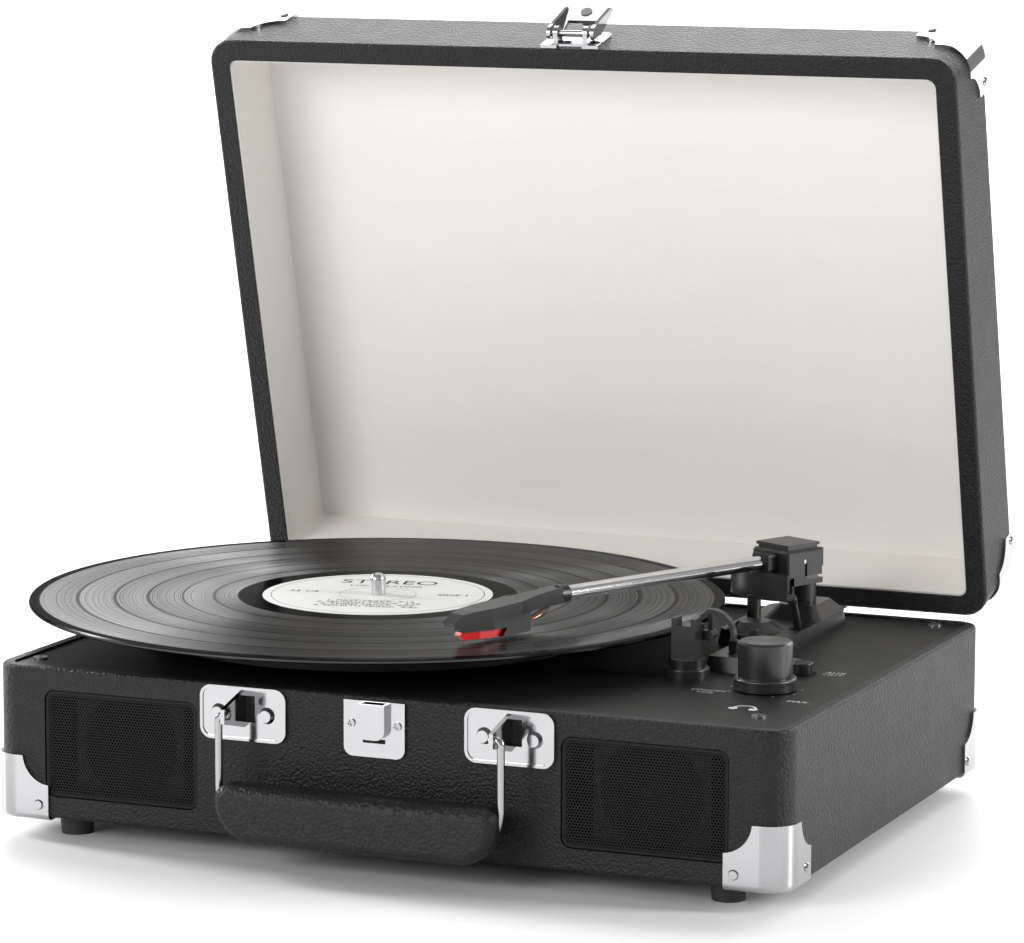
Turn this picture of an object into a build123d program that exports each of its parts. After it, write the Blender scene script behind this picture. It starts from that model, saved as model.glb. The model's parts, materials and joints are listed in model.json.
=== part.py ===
"""Suitcase turntable record player, in millimetres.

The case stands on four feet with its lid open and a 12 inch record on the platter.
X runs to the right, Y to the rear and Z up. The origin is the centre of the case's underside.
"""

import os
from math import atan2, cos, degrees, radians, sin

from build123d import *

# Case
CASE_W = 352.0  # left to right
CASE_D = 258.0  # front to rear
BASE_H = 64.0  # underside to the rim
LID_H = 43.0  # rim to the lid's outer top
CORNER_R = 11.0  # upright corners of base and lid
WALL = 9.0  # board thickness of the base
RIM_W = 5.0  # rim left outside the deck
EDGE_R = 1.5  # wrapped edges of the base
LID_EDGE_R = 5.0  # wrapped edges round the lid's top
DECK_T = 3.0
DECK_DROP = 1.0  # deck below the rim
FLOOR_T = 3.0
PANEL_FIT = 0.3  # round the deck and the floor panel
LID_WALL = 9.2
LID_TOP_T = 2.5
LINING_T = 0.8
LINING_INSET = 1.2  # lining starts this far in from the lid's rim
LID_GAP = 0.5  # between the closed rims

# Feet
FOOT_R = 7.5
FOOT_TIP_R = 6.75
FOOT_H = 9.0
FOOT_X = 146.0
FOOT_FRONT = 17.0  # front feet in from the front face
FOOT_REAR = 56.0  # rear feet in from the rear face
FOOT_SCREW_R = 1.5

# Lid hinge
LID_OPEN = 75.6  # opening angle at rest, degrees
HINGE_BACK = 4.2  # pin behind the rear face
HINGE_DROP = 5.1  # pin below the base's rim
HINGE_X = 95.0
HINGE_W = 30.0
HINGE_PIN_R = 1.0
KNUCKLE_R = 2.6
LEAF_T = 1.2
LEAF_H = 17.0
RUN = 0.05  # radial clearance of a running fit

# Corner guards
GUARD_L = 26.0  # along each edge
GUARD_T = 1.2
GUARD_BITE_R = 13.0  # curved cut between the arms on an upright wall
GUARD_END_BITE_R = 17.0  # the same on the underside or the lid's top
NAIL_R = 2.2
NAIL_H = 0.8

# Front panel
GRILLE_W = 71.0
GRILLE_H = 45.5
GRILLE_R = 4.5
GRILLE_T = 1.0
GRILLE_SINK = 0.8  # grille below the front face
GRILLE_X = 116.3
GRILLE_Z = 32.0
GRILLE_LEDGE = 3.0
SPEAKER_R = 22.0

# Handle
BRACKET_X = 59.1
BRACKET_Z = 52.2
BRACKET_W = 38.8
BRACKET_H = 22.4
BRACKET_R = 5.0
BRACKET_T = 1.6
RIVET_X = 10.9
RIVET_R = 3.5
RIVET_H = 2.2
EAR_T = 1.8
EAR_REACH = 20.0  # from the front face
EAR_H = 16.0
EAR_WINDOW_W = 4.5  # opening the ear was pressed out of
EAR_WINDOW_H = 11.0
PIVOT_OUT = 17.0  # handle axis from the front face
PIVOT_Z = 54.4
BAIL_R = 1.6
BAIL_GAP = 0.6  # between a bail's leg and its ear
GRIP_TOP = 27.5  # grip's straight edge below the handle axis
GRIP_LOW = 51.0  # grip's lower edge below the handle axis
GRIP_R = 17.0  # lower corners
GRIP_TOP_R = 6.0
GRIP_T = 16.0
GRIP_ROUND = 5.0

# Lock and latch
LOCK_W = 27.0
LOCK_H = 23.0
LOCK_TOP = 1.8  # below the rim
LOCK_T = 1.5
TAB_W = 12.0
TAB_H = 14.5
TAB_OUT = 5.0
LOCK_SCREW_X = 10.2
LOCK_SCREW_R = 1.8
LATCH_W = 27.0
LATCH_H = 20.0
LATCH_T = 1.5
HASP_W = 22.0
HASP_L = 24.0
HASP_T = 1.6
HASP_TURN = 158.0  # from hooked to folded back, degrees
HASP_OUT = 5.6  # hasp pin from the lid's front face
HASP_PIN_R = 1.2
HASP_HEEL = 3.0  # hasp's flat part starts this far from its pin
HASP_EYE_R = 3.0

# Deck and record
DECK_Z = BASE_H - DECK_DROP
SPINDLE_X = -58.0
SPINDLE_Y = 0.0
SPINDLE_R = 3.55
SPINDLE_UP = 9.5  # above the record
RECORD_R = 150.8
RECORD_T = 1.8
RECORD_HOLE_R = 3.62
RECORD_UP = 17.6  # record's upper face above the deck
LABEL_R = 50.0
LABEL_T = 0.15
MAT_T = 1.0
PLATTER_R = 100.0
PLATTER_T = 3.0
PLATTER_GAP = 3.0  # platter's rim above the deck
BELT_RING_R = 55.0
PULLEY_R = 5.0
PULLEY_OFFSET = 76.0
PULLEY_ANGLE = 200.0  # degrees about the spindle
BELT_W = 4.0
BELT_T = 0.6
BELT_GAP = 0.3

# Tonearm
ARM_X = 106.5
ARM_Y = 90.0
ARM_ANGLE = 25.1  # from straight ahead towards the spindle, degrees
ARM_UP = 14.4  # tube's axis above the record
STYLUS_S = 201.2  # from the arm's upright axis
PIN_S = 10.7
PIN_R = 1.0
BLOCK_L = 22.0
BLOCK_W = 22.0
BLOCK_UP = 7.7
BLOCK_DOWN = 6.6
BLOCK_STEP = 1.3
TUBE_R = 3.1
TUBE_BORE_R = 2.3
TUBE_START = 23.0
SOCKET_END = 27.6
COLLAR_S = 142.5
COLLAR_L = 5.0
COLLAR_R = 3.8
PLATE_H = 6.5
PLATE_SLOPE = 10.0
PEDESTAL_H = 5.5
POST_R = 5.15
POST_H = 8.5
LIFT_R_OUT = 33.0
LIFT_R_IN = 28.5
LIFT_TOP_GAP = 0.5
LIFT_H = 11.5
LIFT_FROM = -6.0
LIFT_TO = 58.0
LIFT_STEM_R = 3.0
CUE_X = 116.0
CUE_Y = 56.3
CUE_LEAN = 31.0
CUE_L = 18.0
CUE_R = 1.7
CUE_TIP_R = 2.2
CUE_TIP_L = 3.0
CUE_HUB_R = 2.5
CUE_HUB_W = 5.0
REST_X = 98.0
REST_Y = -32.8
REST_W = 10.5
SADDLE_UP = 21.7
PRONG_UP = 24.8

# Controls
KNOB_X = 137.5
KNOB_Y = -47.5
KNOB_R = 11.25
KNOB_SKIRT_R = 13.0
KNOB_H = 20.4
KNOB_SKIRT_H = 5.0
KNOB_GAP = 0.6
KNOB_STEM_R = 3.0
BUTTON_X = 140.5
BUTTON_Y = -10.0
BUTTON_R = 4.5
BUTTON_UP = 5.0
BUTTON_FIT = 0.08
BEZEL_R = 5.8
BEZEL_H = 1.2

# Rear sockets
SOCKET_X = 120.0
SOCKET_Z = 26.0
PANEL_W = 62.0
PANEL_H = 24.0
RCA_R = 4.15
RCA_NECK_R = 3.3
RCA_BORE_R = 1.6
RCA_OUT = 7.5
RCA_IN = 6.0
RCA_STEP = 14.0
INLET_R = 2.75
INLET_DEPTH = 9.0
INLET_WALL = 2.0
INLET_OUT = 0.5

# Worked out from the above
FRONT_Y = -CASE_D / 2
REAR_Y = CASE_D / 2
HINGE_Y = REAR_Y + HINGE_BACK
HINGE_Z = BASE_H - HINGE_DROP
HINGE_AXIS = Axis((0, HINGE_Y, HINGE_Z), (1, 0, 0))
LID_Z = BASE_H + LID_GAP
RECORD_Z = DECK_Z + RECORD_UP
TUBE_Z = RECORD_Z + ARM_UP
PLATE_Z = DECK_Z + PLATE_H
PEDESTAL_Z = PLATE_Z + PEDESTAL_H
PIVOT_Y = FRONT_Y - PIVOT_OUT
FRONT = Plane.XZ.offset(-FRONT_Y)

os.makedirs("parts", exist_ok=True)


def save(piece, name):
    """Label a finished piece and write it under its name."""
    piece.label = name
    export_step(piece, f"parts/{name}.step")


def save_open(piece, name):
    """Turn a piece that is drawn on the closed lid to the open position, then write it."""
    save(piece.rotate(HINGE_AXIS, -LID_OPEN), name)


# ---------------------------------------------------------------- case

with BuildPart() as base_shell:
    with BuildSketch():
        RectangleRounded(CASE_W, CASE_D, CORNER_R)
    extrude(amount=BASE_H)
    fillet(base_shell.faces().sort_by(Axis.Z)[0].edges(), EDGE_R)
    fillet(base_shell.faces().sort_by(Axis.Z)[-1].edges(), EDGE_R)
    with BuildSketch():
        RectangleRounded(CASE_W - 2 * WALL, CASE_D - 2 * WALL, CORNER_R - WALL)
    extrude(amount=BASE_H, mode=Mode.SUBTRACT)
    for low, high in ((DECK_Z - DECK_T, BASE_H), (0, FLOOR_T)):
        with BuildSketch(Plane.XY.offset(low)):
            RectangleRounded(CASE_W - 2 * RIM_W, CASE_D - 2 * RIM_W, CORNER_R - RIM_W)
        extrude(amount=high - low, mode=Mode.SUBTRACT)
    with BuildSketch(FRONT):
        with Locations((-GRILLE_X, GRILLE_Z), (GRILLE_X, GRILLE_Z)):
            RectangleRounded(GRILLE_W, GRILLE_H, GRILLE_R)
    extrude(amount=-(GRILLE_T + GRILLE_SINK), mode=Mode.SUBTRACT)
    with BuildSketch(FRONT):
        with Locations((-GRILLE_X, GRILLE_Z), (GRILLE_X, GRILLE_Z)):
            RectangleRounded(GRILLE_W - 2 * GRILLE_LEDGE, GRILLE_H - 2 * GRILLE_LEDGE, GRILLE_R - 1)
    extrude(amount=-WALL, mode=Mode.SUBTRACT)
    with BuildSketch(Plane.XZ.offset(-REAR_Y)):
        with Locations((SOCKET_X, SOCKET_Z)):
            Rectangle(PANEL_W - 8, PANEL_H - 6)
    extrude(amount=WALL, mode=Mode.SUBTRACT)
save(base_shell.part, "base_shell")

FEET = [
    (side * FOOT_X, y)
    for side in (-1, 1)
    for y in (FRONT_Y + FOOT_FRONT, REAR_Y - FOOT_REAR)
]

with BuildPart() as bottom_panel:
    with BuildSketch():
        RectangleRounded(
            CASE_W - 2 * (RIM_W + PANEL_FIT),
            CASE_D - 2 * (RIM_W + PANEL_FIT),
            CORNER_R - RIM_W - PANEL_FIT,
        )
        with Locations(*FEET):
            Circle(FOOT_SCREW_R, mode=Mode.SUBTRACT)
    extrude(amount=FLOOR_T)
save(bottom_panel.part, "bottom_panel")

with BuildPart() as rubber_feet:
    with BuildSketch(Plane.XY.offset(-FOOT_H)):
        with Locations(*FEET):
            Circle(FOOT_TIP_R)
    extrude(amount=FOOT_H, taper=-degrees(atan2(FOOT_R - FOOT_TIP_R, FOOT_H)))
    with BuildSketch(Plane.XY.offset(-FOOT_H)):
        with Locations(*FEET):
            Circle(2 * FOOT_SCREW_R + 0.4)
    extrude(amount=FOOT_H / 2, mode=Mode.SUBTRACT)
    with BuildSketch(Plane.XY.offset(-FOOT_H)):
        with Locations(*FEET):
            Circle(FOOT_SCREW_R)
    extrude(amount=FOOT_H, mode=Mode.SUBTRACT)
save(rubber_feet.part, "rubber_feet")

with BuildPart() as foot_screws:
    with BuildSketch(Plane.XY.offset(-FOOT_H / 2 - 1.6)):
        with Locations(*FEET):
            Circle(2 * FOOT_SCREW_R)
    extrude(amount=1.6)
    with BuildSketch(Plane.XY.offset(-FOOT_H / 2)):
        with Locations(*FEET):
            Circle(FOOT_SCREW_R)
    extrude(amount=FOOT_H / 2 + FLOOR_T + 2)
save(foot_screws.part, "foot_screws")

DECK_SCREW_R = 1.6
DECK_SCREW_IN = WALL + DECK_SCREW_R + 0.4  # clear of the boards below the deck
DECK_SCREWS = [
    (-CASE_W / 2 + DECK_SCREW_IN, FRONT_Y + DECK_SCREW_IN + 10),
    (CASE_W / 2 - DECK_SCREW_IN - 7, REAR_Y - DECK_SCREW_IN - 1),
    (-CASE_W / 2 + DECK_SCREW_IN, REAR_Y - DECK_SCREW_IN - 1),
    (CASE_W / 2 - DECK_SCREW_IN - 11, FRONT_Y + DECK_SCREW_IN + 17),
]
PULLEY_X = SPINDLE_X + PULLEY_OFFSET * cos(radians(PULLEY_ANGLE))
PULLEY_Y = SPINDLE_Y + PULLEY_OFFSET * sin(radians(PULLEY_ANGLE))

with BuildPart() as deck_plate:
    with BuildSketch(Plane.XY.offset(DECK_Z - DECK_T)):
        RectangleRounded(
            CASE_W - 2 * (RIM_W + PANEL_FIT),
            CASE_D - 2 * (RIM_W + PANEL_FIT),
            CORNER_R - RIM_W - PANEL_FIT,
        )
        with Locations(*DECK_SCREWS):
            Circle(DECK_SCREW_R, mode=Mode.SUBTRACT)
        with Locations((SPINDLE_X, SPINDLE_Y)):
            Circle(SPINDLE_R, mode=Mode.SUBTRACT)
        with Locations((PULLEY_X, PULLEY_Y)):
            Circle(3.0, mode=Mode.SUBTRACT)
        with Locations((KNOB_X, KNOB_Y)):
            Circle(KNOB_STEM_R + 0.5, mode=Mode.SUBTRACT)
        with Locations((BUTTON_X, BUTTON_Y)):
            Circle(BUTTON_R + BUTTON_FIT, mode=Mode.SUBTRACT)
    extrude(amount=DECK_T)
    with BuildSketch(Plane.XY.offset(DECK_Z)):
        with Locations((BUTTON_X, BUTTON_Y)):
            Circle(BEZEL_R)
            Circle(BUTTON_R + BUTTON_FIT, mode=Mode.SUBTRACT)
    extrude(amount=BEZEL_H)
save(deck_plate.part, "deck_plate")

with BuildPart() as deck_screws:
    with BuildSketch(Plane.XY.offset(DECK_Z)):
        with Locations(*DECK_SCREWS):
            Circle(1.9 * DECK_SCREW_R)
            Rectangle(3.6, 0.7, rotation=35, mode=Mode.SUBTRACT)
            Rectangle(3.6, 0.7, rotation=125, mode=Mode.SUBTRACT)
    extrude(amount=0.9)
    with BuildSketch(Plane.XY.offset(DECK_Z - DECK_T - 4)):
        with Locations(*DECK_SCREWS):
            Circle(DECK_SCREW_R)
    extrude(amount=DECK_T + 4.3)
save(deck_screws.part, "deck_screws")


# ---------------------------------------------------------------- loudspeakers


def speaker_grille(x):
    """A flat cover sunk into the front face."""
    with BuildPart() as grille:
        with BuildSketch(FRONT.offset(-GRILLE_SINK)):
            with Locations((x, GRILLE_Z)):
                RectangleRounded(GRILLE_W - 0.2, GRILLE_H - 0.2, GRILLE_R - 0.1)
        extrude(amount=-GRILLE_T)
    return grille.part


for side, where in ((-1, "left"), (1, "right")):
    save(speaker_grille(side * GRILLE_X), f"speaker_grille_{where}")

SPEAKER_PLANE = FRONT.offset(-WALL)
BASKET_DEPTH = 16.0
MAGNET_R = 15.0
MAGNET_H = 9.0
CONE_FIT = 0.4

with BuildPart() as speaker_baskets:
    with BuildSketch(SPEAKER_PLANE):
        with Locations((-GRILLE_X, GRILLE_Z), (GRILLE_X, GRILLE_Z)):
            RectangleRounded(2 * SPEAKER_R + 6, 2 * SPEAKER_R + 6, 6)
    extrude(amount=-2)
    for x in (-GRILLE_X, GRILLE_X):
        with BuildSketch(SPEAKER_PLANE.offset(-2)):
            with Locations((x, GRILLE_Z)):
                Circle(SPEAKER_R + 1.2)
        with BuildSketch(SPEAKER_PLANE.offset(-BASKET_DEPTH)):
            with Locations((x, GRILLE_Z)):
                Circle(MAGNET_R - 1)
        loft()
        with BuildSketch(SPEAKER_PLANE):
            with Locations((x, GRILLE_Z)):
                Circle(SPEAKER_R)
        with BuildSketch(SPEAKER_PLANE.offset(2 - BASKET_DEPTH)):
            with Locations((x, GRILLE_Z)):
                Circle(MAGNET_R - 4)
        loft(mode=Mode.SUBTRACT)
save(speaker_baskets.part, "speaker_baskets")

with BuildPart() as speaker_cones:
    for x in (-GRILLE_X, GRILLE_X):
        for shrink, mode in ((0, Mode.ADD), (1.2, Mode.SUBTRACT)):
            with BuildSketch(SPEAKER_PLANE):
                with Locations((x, GRILLE_Z)):
                    Circle(SPEAKER_R - CONE_FIT - shrink)
            with BuildSketch(SPEAKER_PLANE.offset(4 + shrink - BASKET_DEPTH)):
                with Locations((x, GRILLE_Z)):
                    Circle(MAGNET_R - 6 - shrink)
            loft(mode=mode)
save(speaker_cones.part, "speaker_cones")

with BuildPart() as speaker_magnets:
    with BuildSketch(SPEAKER_PLANE.offset(-BASKET_DEPTH)):
        with Locations((-GRILLE_X, GRILLE_Z), (GRILLE_X, GRILLE_Z)):
            Circle(MAGNET_R)
    extrude(amount=-MAGNET_H)
save(speaker_magnets.part, "speaker_magnets")


# ---------------------------------------------------------------- corner guards


def guard_set(low, high, closed_end):
    """Four caps on the corners of a box from low to high; closed_end is -1 for caps underneath, 1 on top."""
    end = high if closed_end > 0 else low
    closed_face = -1 if closed_end > 0 else 0
    edge_r = LID_EDGE_R if closed_end > 0 else EDGE_R
    with BuildPart() as guards:
        with BuildSketch(Plane.XY.offset(low - GUARD_T if closed_end < 0 else high - GUARD_L)):
            RectangleRounded(CASE_W + 2 * GUARD_T, CASE_D + 2 * GUARD_T, CORNER_R + GUARD_T)
        extrude(amount=GUARD_L + GUARD_T)
        fillet(guards.faces().sort_by(Axis.Z)[closed_face].edges(), edge_r + GUARD_T)
        with BuildSketch(Plane.XY.offset(low if closed_end < 0 else high - GUARD_L)):
            RectangleRounded(CASE_W, CASE_D, CORNER_R)
        core = extrude(amount=GUARD_L, mode=Mode.PRIVATE)
        core = core.fillet(edge_r, core.faces().sort_by(Axis.Z)[closed_face].edges())
        add(core, mode=Mode.SUBTRACT)
        with BuildSketch(Plane.XY.offset(end - GUARD_L - GUARD_T)):
            Rectangle(CASE_W - 2 * GUARD_L, 2 * CASE_D)
            Rectangle(2 * CASE_W, CASE_D - 2 * GUARD_L)
        extrude(amount=2 * (GUARD_L + GUARD_T), mode=Mode.SUBTRACT)
        inset = GUARD_L + 1
        with BuildSketch(Plane.XY.offset(end - GUARD_L - GUARD_T)):
            with GridLocations(CASE_W - 2 * inset, CASE_D - 2 * inset, 2, 2):
                Circle(GUARD_END_BITE_R)
        extrude(amount=2 * (GUARD_L + GUARD_T), mode=Mode.SUBTRACT)
        z = end - closed_end * inset
        with BuildSketch(Plane.XZ):
            with Locations((-CASE_W / 2 + inset, z), (CASE_W / 2 - inset, z)):
                Circle(GUARD_BITE_R)
        extrude(amount=CASE_D, both=True, mode=Mode.SUBTRACT)
        with BuildSketch(Plane.YZ):
            with Locations((-CASE_D / 2 + inset, z), (CASE_D / 2 - inset, z)):
                Circle(GUARD_BITE_R)
        extrude(amount=CASE_W, both=True, mode=Mode.SUBTRACT)
    return guards.part


def guard_nails(z, drop):
    """Domed nails on the arms of four guards, on the front, rear and side faces."""
    along = GUARD_L - 4.5
    with BuildPart() as nails:
        for side_y in (-1, 1):
            with BuildSketch(Plane.XZ.offset(side_y * (CASE_D / 2 + GUARD_T))):
                with Locations((-CASE_W / 2 + along, z + drop), (CASE_W / 2 - along, z + drop)):
                    Circle(NAIL_R)
            extrude(amount=side_y * NAIL_H, taper=30)
        for side_x in (-1, 1):
            with BuildSketch(Plane.YZ.offset(side_x * (CASE_W / 2 + GUARD_T))):
                with Locations((-CASE_D / 2 + along, z + drop), (CASE_D / 2 - along, z + drop)):
                    Circle(NAIL_R)
            extrude(amount=side_x * NAIL_H, taper=30)
    return nails.part


GUARD_NAIL_IN = 5.6
save(guard_set(0, BASE_H, -1), "base_corner_guards")
save(guard_nails(0, GUARD_NAIL_IN), "base_corner_nails")
save_open(guard_set(LID_Z, LID_Z + LID_H, 1), "lid_corner_guards")
save_open(guard_nails(LID_Z + LID_H, -GUARD_NAIL_IN), "lid_corner_nails")


# ---------------------------------------------------------------- handle


def handle_bracket(x):
    """A plate on the front face with an ear pressed out of it for the bail."""
    with BuildPart() as bracket:
        with BuildSketch(FRONT):
            with Locations((x, BRACKET_Z)):
                RectangleRounded(BRACKET_W, BRACKET_H, BRACKET_R)
        extrude(amount=BRACKET_T)
        with BuildSketch(FRONT.offset(BRACKET_T - 0.6)):
            with Locations((x, BRACKET_Z)):
                RectangleRounded(BRACKET_W - 2.4, BRACKET_H - 2.4, BRACKET_R - 1.2)
        extrude(amount=0.6, mode=Mode.SUBTRACT)
        with BuildSketch(Plane.YZ.offset(x - EAR_T / 2)):
            with BuildLine():
                Polyline(
                    (FRONT_Y, PIVOT_Z - EAR_H / 2),
                    (FRONT_Y, PIVOT_Z + EAR_H / 2),
                    (FRONT_Y - EAR_REACH, PIVOT_Z + 3),
                    (FRONT_Y - EAR_REACH, PIVOT_Z - 3),
                    close=True,
                )
            make_face()
            with Locations((PIVOT_Y, PIVOT_Z)):
                Circle(BAIL_R + RUN, mode=Mode.SUBTRACT)
        extrude(amount=EAR_T)
        with BuildSketch(FRONT):
            with Locations((x + EAR_T / 2 + EAR_WINDOW_W / 2, PIVOT_Z)):
                Rectangle(EAR_WINDOW_W, EAR_WINDOW_H)
        extrude(amount=BRACKET_T, mode=Mode.SUBTRACT)
    return bracket.part


for side, where in ((-1, "left"), (1, "right")):
    save(handle_bracket(side * BRACKET_X), f"handle_bracket_{where}")

with BuildPart() as bracket_rivets:
    spots = [(s * BRACKET_X + t * RIVET_X, BRACKET_Z) for s in (-1, 1) for t in (-1, 1)]
    with BuildSketch(FRONT.offset(BRACKET_T - 0.6)):
        with Locations(*spots):
            Circle(RIVET_R)
    extrude(amount=RIVET_H, taper=25)
save(bracket_rivets.part, "bracket_rivets")

LEG_X = BRACKET_X + EAR_T / 2 + BAIL_GAP + BAIL_R
BAIL_LOW = PIVOT_Z - GRIP_LOW + 3.2 * BAIL_R

with BuildPart() as handle_bail:
    with BuildLine() as bail_path:
        FilletPolyline(
            (-BRACKET_X + EAR_T, PIVOT_Y, PIVOT_Z),
            (-LEG_X, PIVOT_Y, PIVOT_Z),
            (-LEG_X, PIVOT_Y, BAIL_LOW),
            (LEG_X, PIVOT_Y, BAIL_LOW),
            (LEG_X, PIVOT_Y, PIVOT_Z),
            (BRACKET_X - EAR_T, PIVOT_Y, PIVOT_Z),
            radius=(BAIL_R + 0.5, GRIP_R, GRIP_R, BAIL_R + 0.5),
        )
    with BuildSketch(Plane(origin=bail_path.line @ 0, z_dir=bail_path.line % 0)):
        Circle(BAIL_R)
    sweep()
save(handle_bail.part, "handle_bail")

with BuildPart() as handle_grip:
    grip_top = PIVOT_Z - GRIP_TOP
    grip_bottom = PIVOT_Z - GRIP_LOW
    with BuildSketch(Plane.XZ.offset(-PIVOT_Y - GRIP_T / 2)) as grip_outline:
        with Locations((0, (grip_top + grip_bottom) / 2)):
            Rectangle(2 * LEG_X, grip_top - grip_bottom)
        fillet(grip_outline.vertices().group_by(Axis.Y)[0], GRIP_R)
        fillet(grip_outline.vertices().group_by(Axis.Y)[-1], GRIP_TOP_R)
    extrude(amount=GRIP_T)
    fillet(handle_grip.faces().filter_by(Axis.Y).edges(), GRIP_ROUND)
    add(handle_bail.part, mode=Mode.SUBTRACT)
save(handle_grip.part, "handle_grip")


# ---------------------------------------------------------------- lock and latch

LOCK_Z = BASE_H - LOCK_TOP - LOCK_H / 2
LOCK_SCREW_Z = LOCK_Z + 2.0
TAB_Z = BASE_H - LOCK_TOP - TAB_H / 2 - 0.8

with BuildPart() as lock_plate:
    with BuildSketch(FRONT) as lock_outline:
        with Locations((0, LOCK_Z)):
            Rectangle(LOCK_W, LOCK_H)
        fillet(lock_outline.vertices().group_by(Axis.Y)[0], 4)
        with Locations((0, TAB_Z - TAB_H / 2 - 1.0)):
            Rectangle(TAB_W - 2, 1.8, mode=Mode.SUBTRACT)
        with Locations((-LOCK_SCREW_X, LOCK_SCREW_Z), (LOCK_SCREW_X, LOCK_SCREW_Z)):
            Circle(LOCK_SCREW_R * 0.5, mode=Mode.SUBTRACT)
    extrude(amount=LOCK_T)
    with BuildSketch(FRONT.offset(LOCK_T)) as tab_outline:
        with Locations((0, TAB_Z)):
            Rectangle(TAB_W, TAB_H)
        fillet(tab_outline.vertices().group_by(Axis.Y)[0], 4)
    extrude(amount=TAB_OUT - LOCK_T)
    with BuildSketch(FRONT.offset(TAB_OUT - 1.2)):
        with Locations((0, TAB_Z)):
            Rectangle(TAB_W - 2.4, TAB_H)
    extrude(amount=LOCK_T - TAB_OUT + 1.2, mode=Mode.SUBTRACT)
save(lock_plate.part, "lock_plate")

with BuildPart() as lock_screws:
    with BuildSketch(FRONT.offset(LOCK_T)):
        with Locations((-LOCK_SCREW_X, LOCK_SCREW_Z), (LOCK_SCREW_X, LOCK_SCREW_Z)):
            Circle(LOCK_SCREW_R)
            Rectangle(2.4, 0.5, rotation=20, mode=Mode.SUBTRACT)
            Rectangle(2.4, 0.5, rotation=110, mode=Mode.SUBTRACT)
    extrude(amount=0.8)
    with BuildSketch(FRONT):
        with Locations((-LOCK_SCREW_X, LOCK_SCREW_Z), (LOCK_SCREW_X, LOCK_SCREW_Z)):
            Circle(LOCK_SCREW_R * 0.5)
    extrude(amount=LOCK_T + 0.2)
save(lock_screws.part, "lock_screws")

LATCH_Z = LID_Z + 1.5
HASP_Y = FRONT_Y - HASP_OUT
HASP_Z = LATCH_Z + 5.0
HASP_AXIS = Axis((0, HASP_Y, HASP_Z), (1, 0, 0))
LUG_T = 2.0

with BuildPart() as latch_plate:
    with BuildSketch(FRONT) as latch_outline:
        with Locations((0, LATCH_Z + LATCH_H / 2)):
            Rectangle(LATCH_W, LATCH_H)
        fillet(latch_outline.vertices().group_by(Axis.Y)[-1], 4)
        with Locations((0, LATCH_Z)):
            Rectangle(TAB_W, 3, mode=Mode.SUBTRACT)
    extrude(amount=LATCH_T)
    for side in (-1, 1):
        with BuildSketch(Plane.YZ.offset(side * (HASP_W / 2 - LUG_T - HASP_T - 0.4) - LUG_T / 2)):
            with Locations((HASP_Y, HASP_Z)):
                Circle(HASP_EYE_R)
            with Locations(((HASP_Y + FRONT_Y) / 2 - LATCH_T / 2, HASP_Z)):
                Rectangle(HASP_OUT - LATCH_T, 2 * HASP_EYE_R)
        extrude(amount=LUG_T)
    with BuildSketch(Plane.YZ.offset(-HASP_W / 2)):
        with Locations((HASP_Y, HASP_Z)):
            Circle(HASP_PIN_R)
    extrude(amount=HASP_W)
save_open(latch_plate.part, "latch_plate")

BUTTON_SLIDE = 1.5
LATCH_BUTTON_R = 4.0
LATCH_BUTTON_IN = 5.5  # from the hasp's end

with BuildPart() as latch_hasp:
    with BuildSketch(Plane.XZ.offset(-HASP_Y + 3.2)):
        with Locations((0, HASP_Z - (HASP_L + HASP_HEEL) / 2)):
            RectangleRounded(HASP_W, HASP_L - HASP_HEEL, 2.5)
        with Locations((0, HASP_Z - 9.0)):
            Rectangle(TAB_W + 1.6, 7.0, mode=Mode.SUBTRACT)
        with Locations((0, HASP_Z - HASP_L + LATCH_BUTTON_IN)):
            Circle(LATCH_BUTTON_R - 1.5 + BUTTON_FIT, mode=Mode.SUBTRACT)
    extrude(amount=HASP_T)
    for side in (-1, 1):
        with BuildSketch(Plane.YZ.offset(side * (HASP_W / 2 - HASP_T / 2) - HASP_T / 2)):
            with Locations((HASP_Y, HASP_Z)):
                Circle(HASP_EYE_R)
            with BuildLine():
                Polyline(
                    (HASP_Y - 4.0, HASP_Z - HASP_L + 3),
                    (HASP_Y - 4.0, HASP_Z - HASP_HEEL),
                    (HASP_Y - HASP_EYE_R, HASP_Z),
                    (HASP_Y + HASP_EYE_R, HASP_Z),
                    (HASP_Y + 2.4, HASP_Z - HASP_HEEL),
                    (HASP_Y - 2.6, HASP_Z - HASP_L + 3),
                    close=True,
                )
            make_face()
            with Locations((HASP_Y, HASP_Z)):
                Circle(HASP_PIN_R + RUN, mode=Mode.SUBTRACT)
        extrude(amount=HASP_T)
save_open(latch_hasp.part.rotate(HASP_AXIS, -HASP_TURN), "latch_hasp")

with BuildPart() as latch_button:
    with BuildSketch(Plane.XZ.offset(-HASP_Y + 3.2 + HASP_T + BUTTON_SLIDE)):
        with Locations((0, HASP_Z - HASP_L + LATCH_BUTTON_IN)):
            Circle(LATCH_BUTTON_R)
    extrude(amount=2.0, taper=20)
    with BuildSketch(Plane.XZ.offset(-HASP_Y + 3.2 - 0.5)):
        with Locations((0, HASP_Z - HASP_L + LATCH_BUTTON_IN)):
            Circle(LATCH_BUTTON_R - 1.5)
    extrude(amount=HASP_T + BUTTON_SLIDE + 0.5)
save_open(latch_button.part.rotate(HASP_AXIS, -HASP_TURN), "latch_button")


# ---------------------------------------------------------------- hinges

KNUCKLE_L = HINGE_W / 3
KNUCKLE_GAP = 0.15


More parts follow.
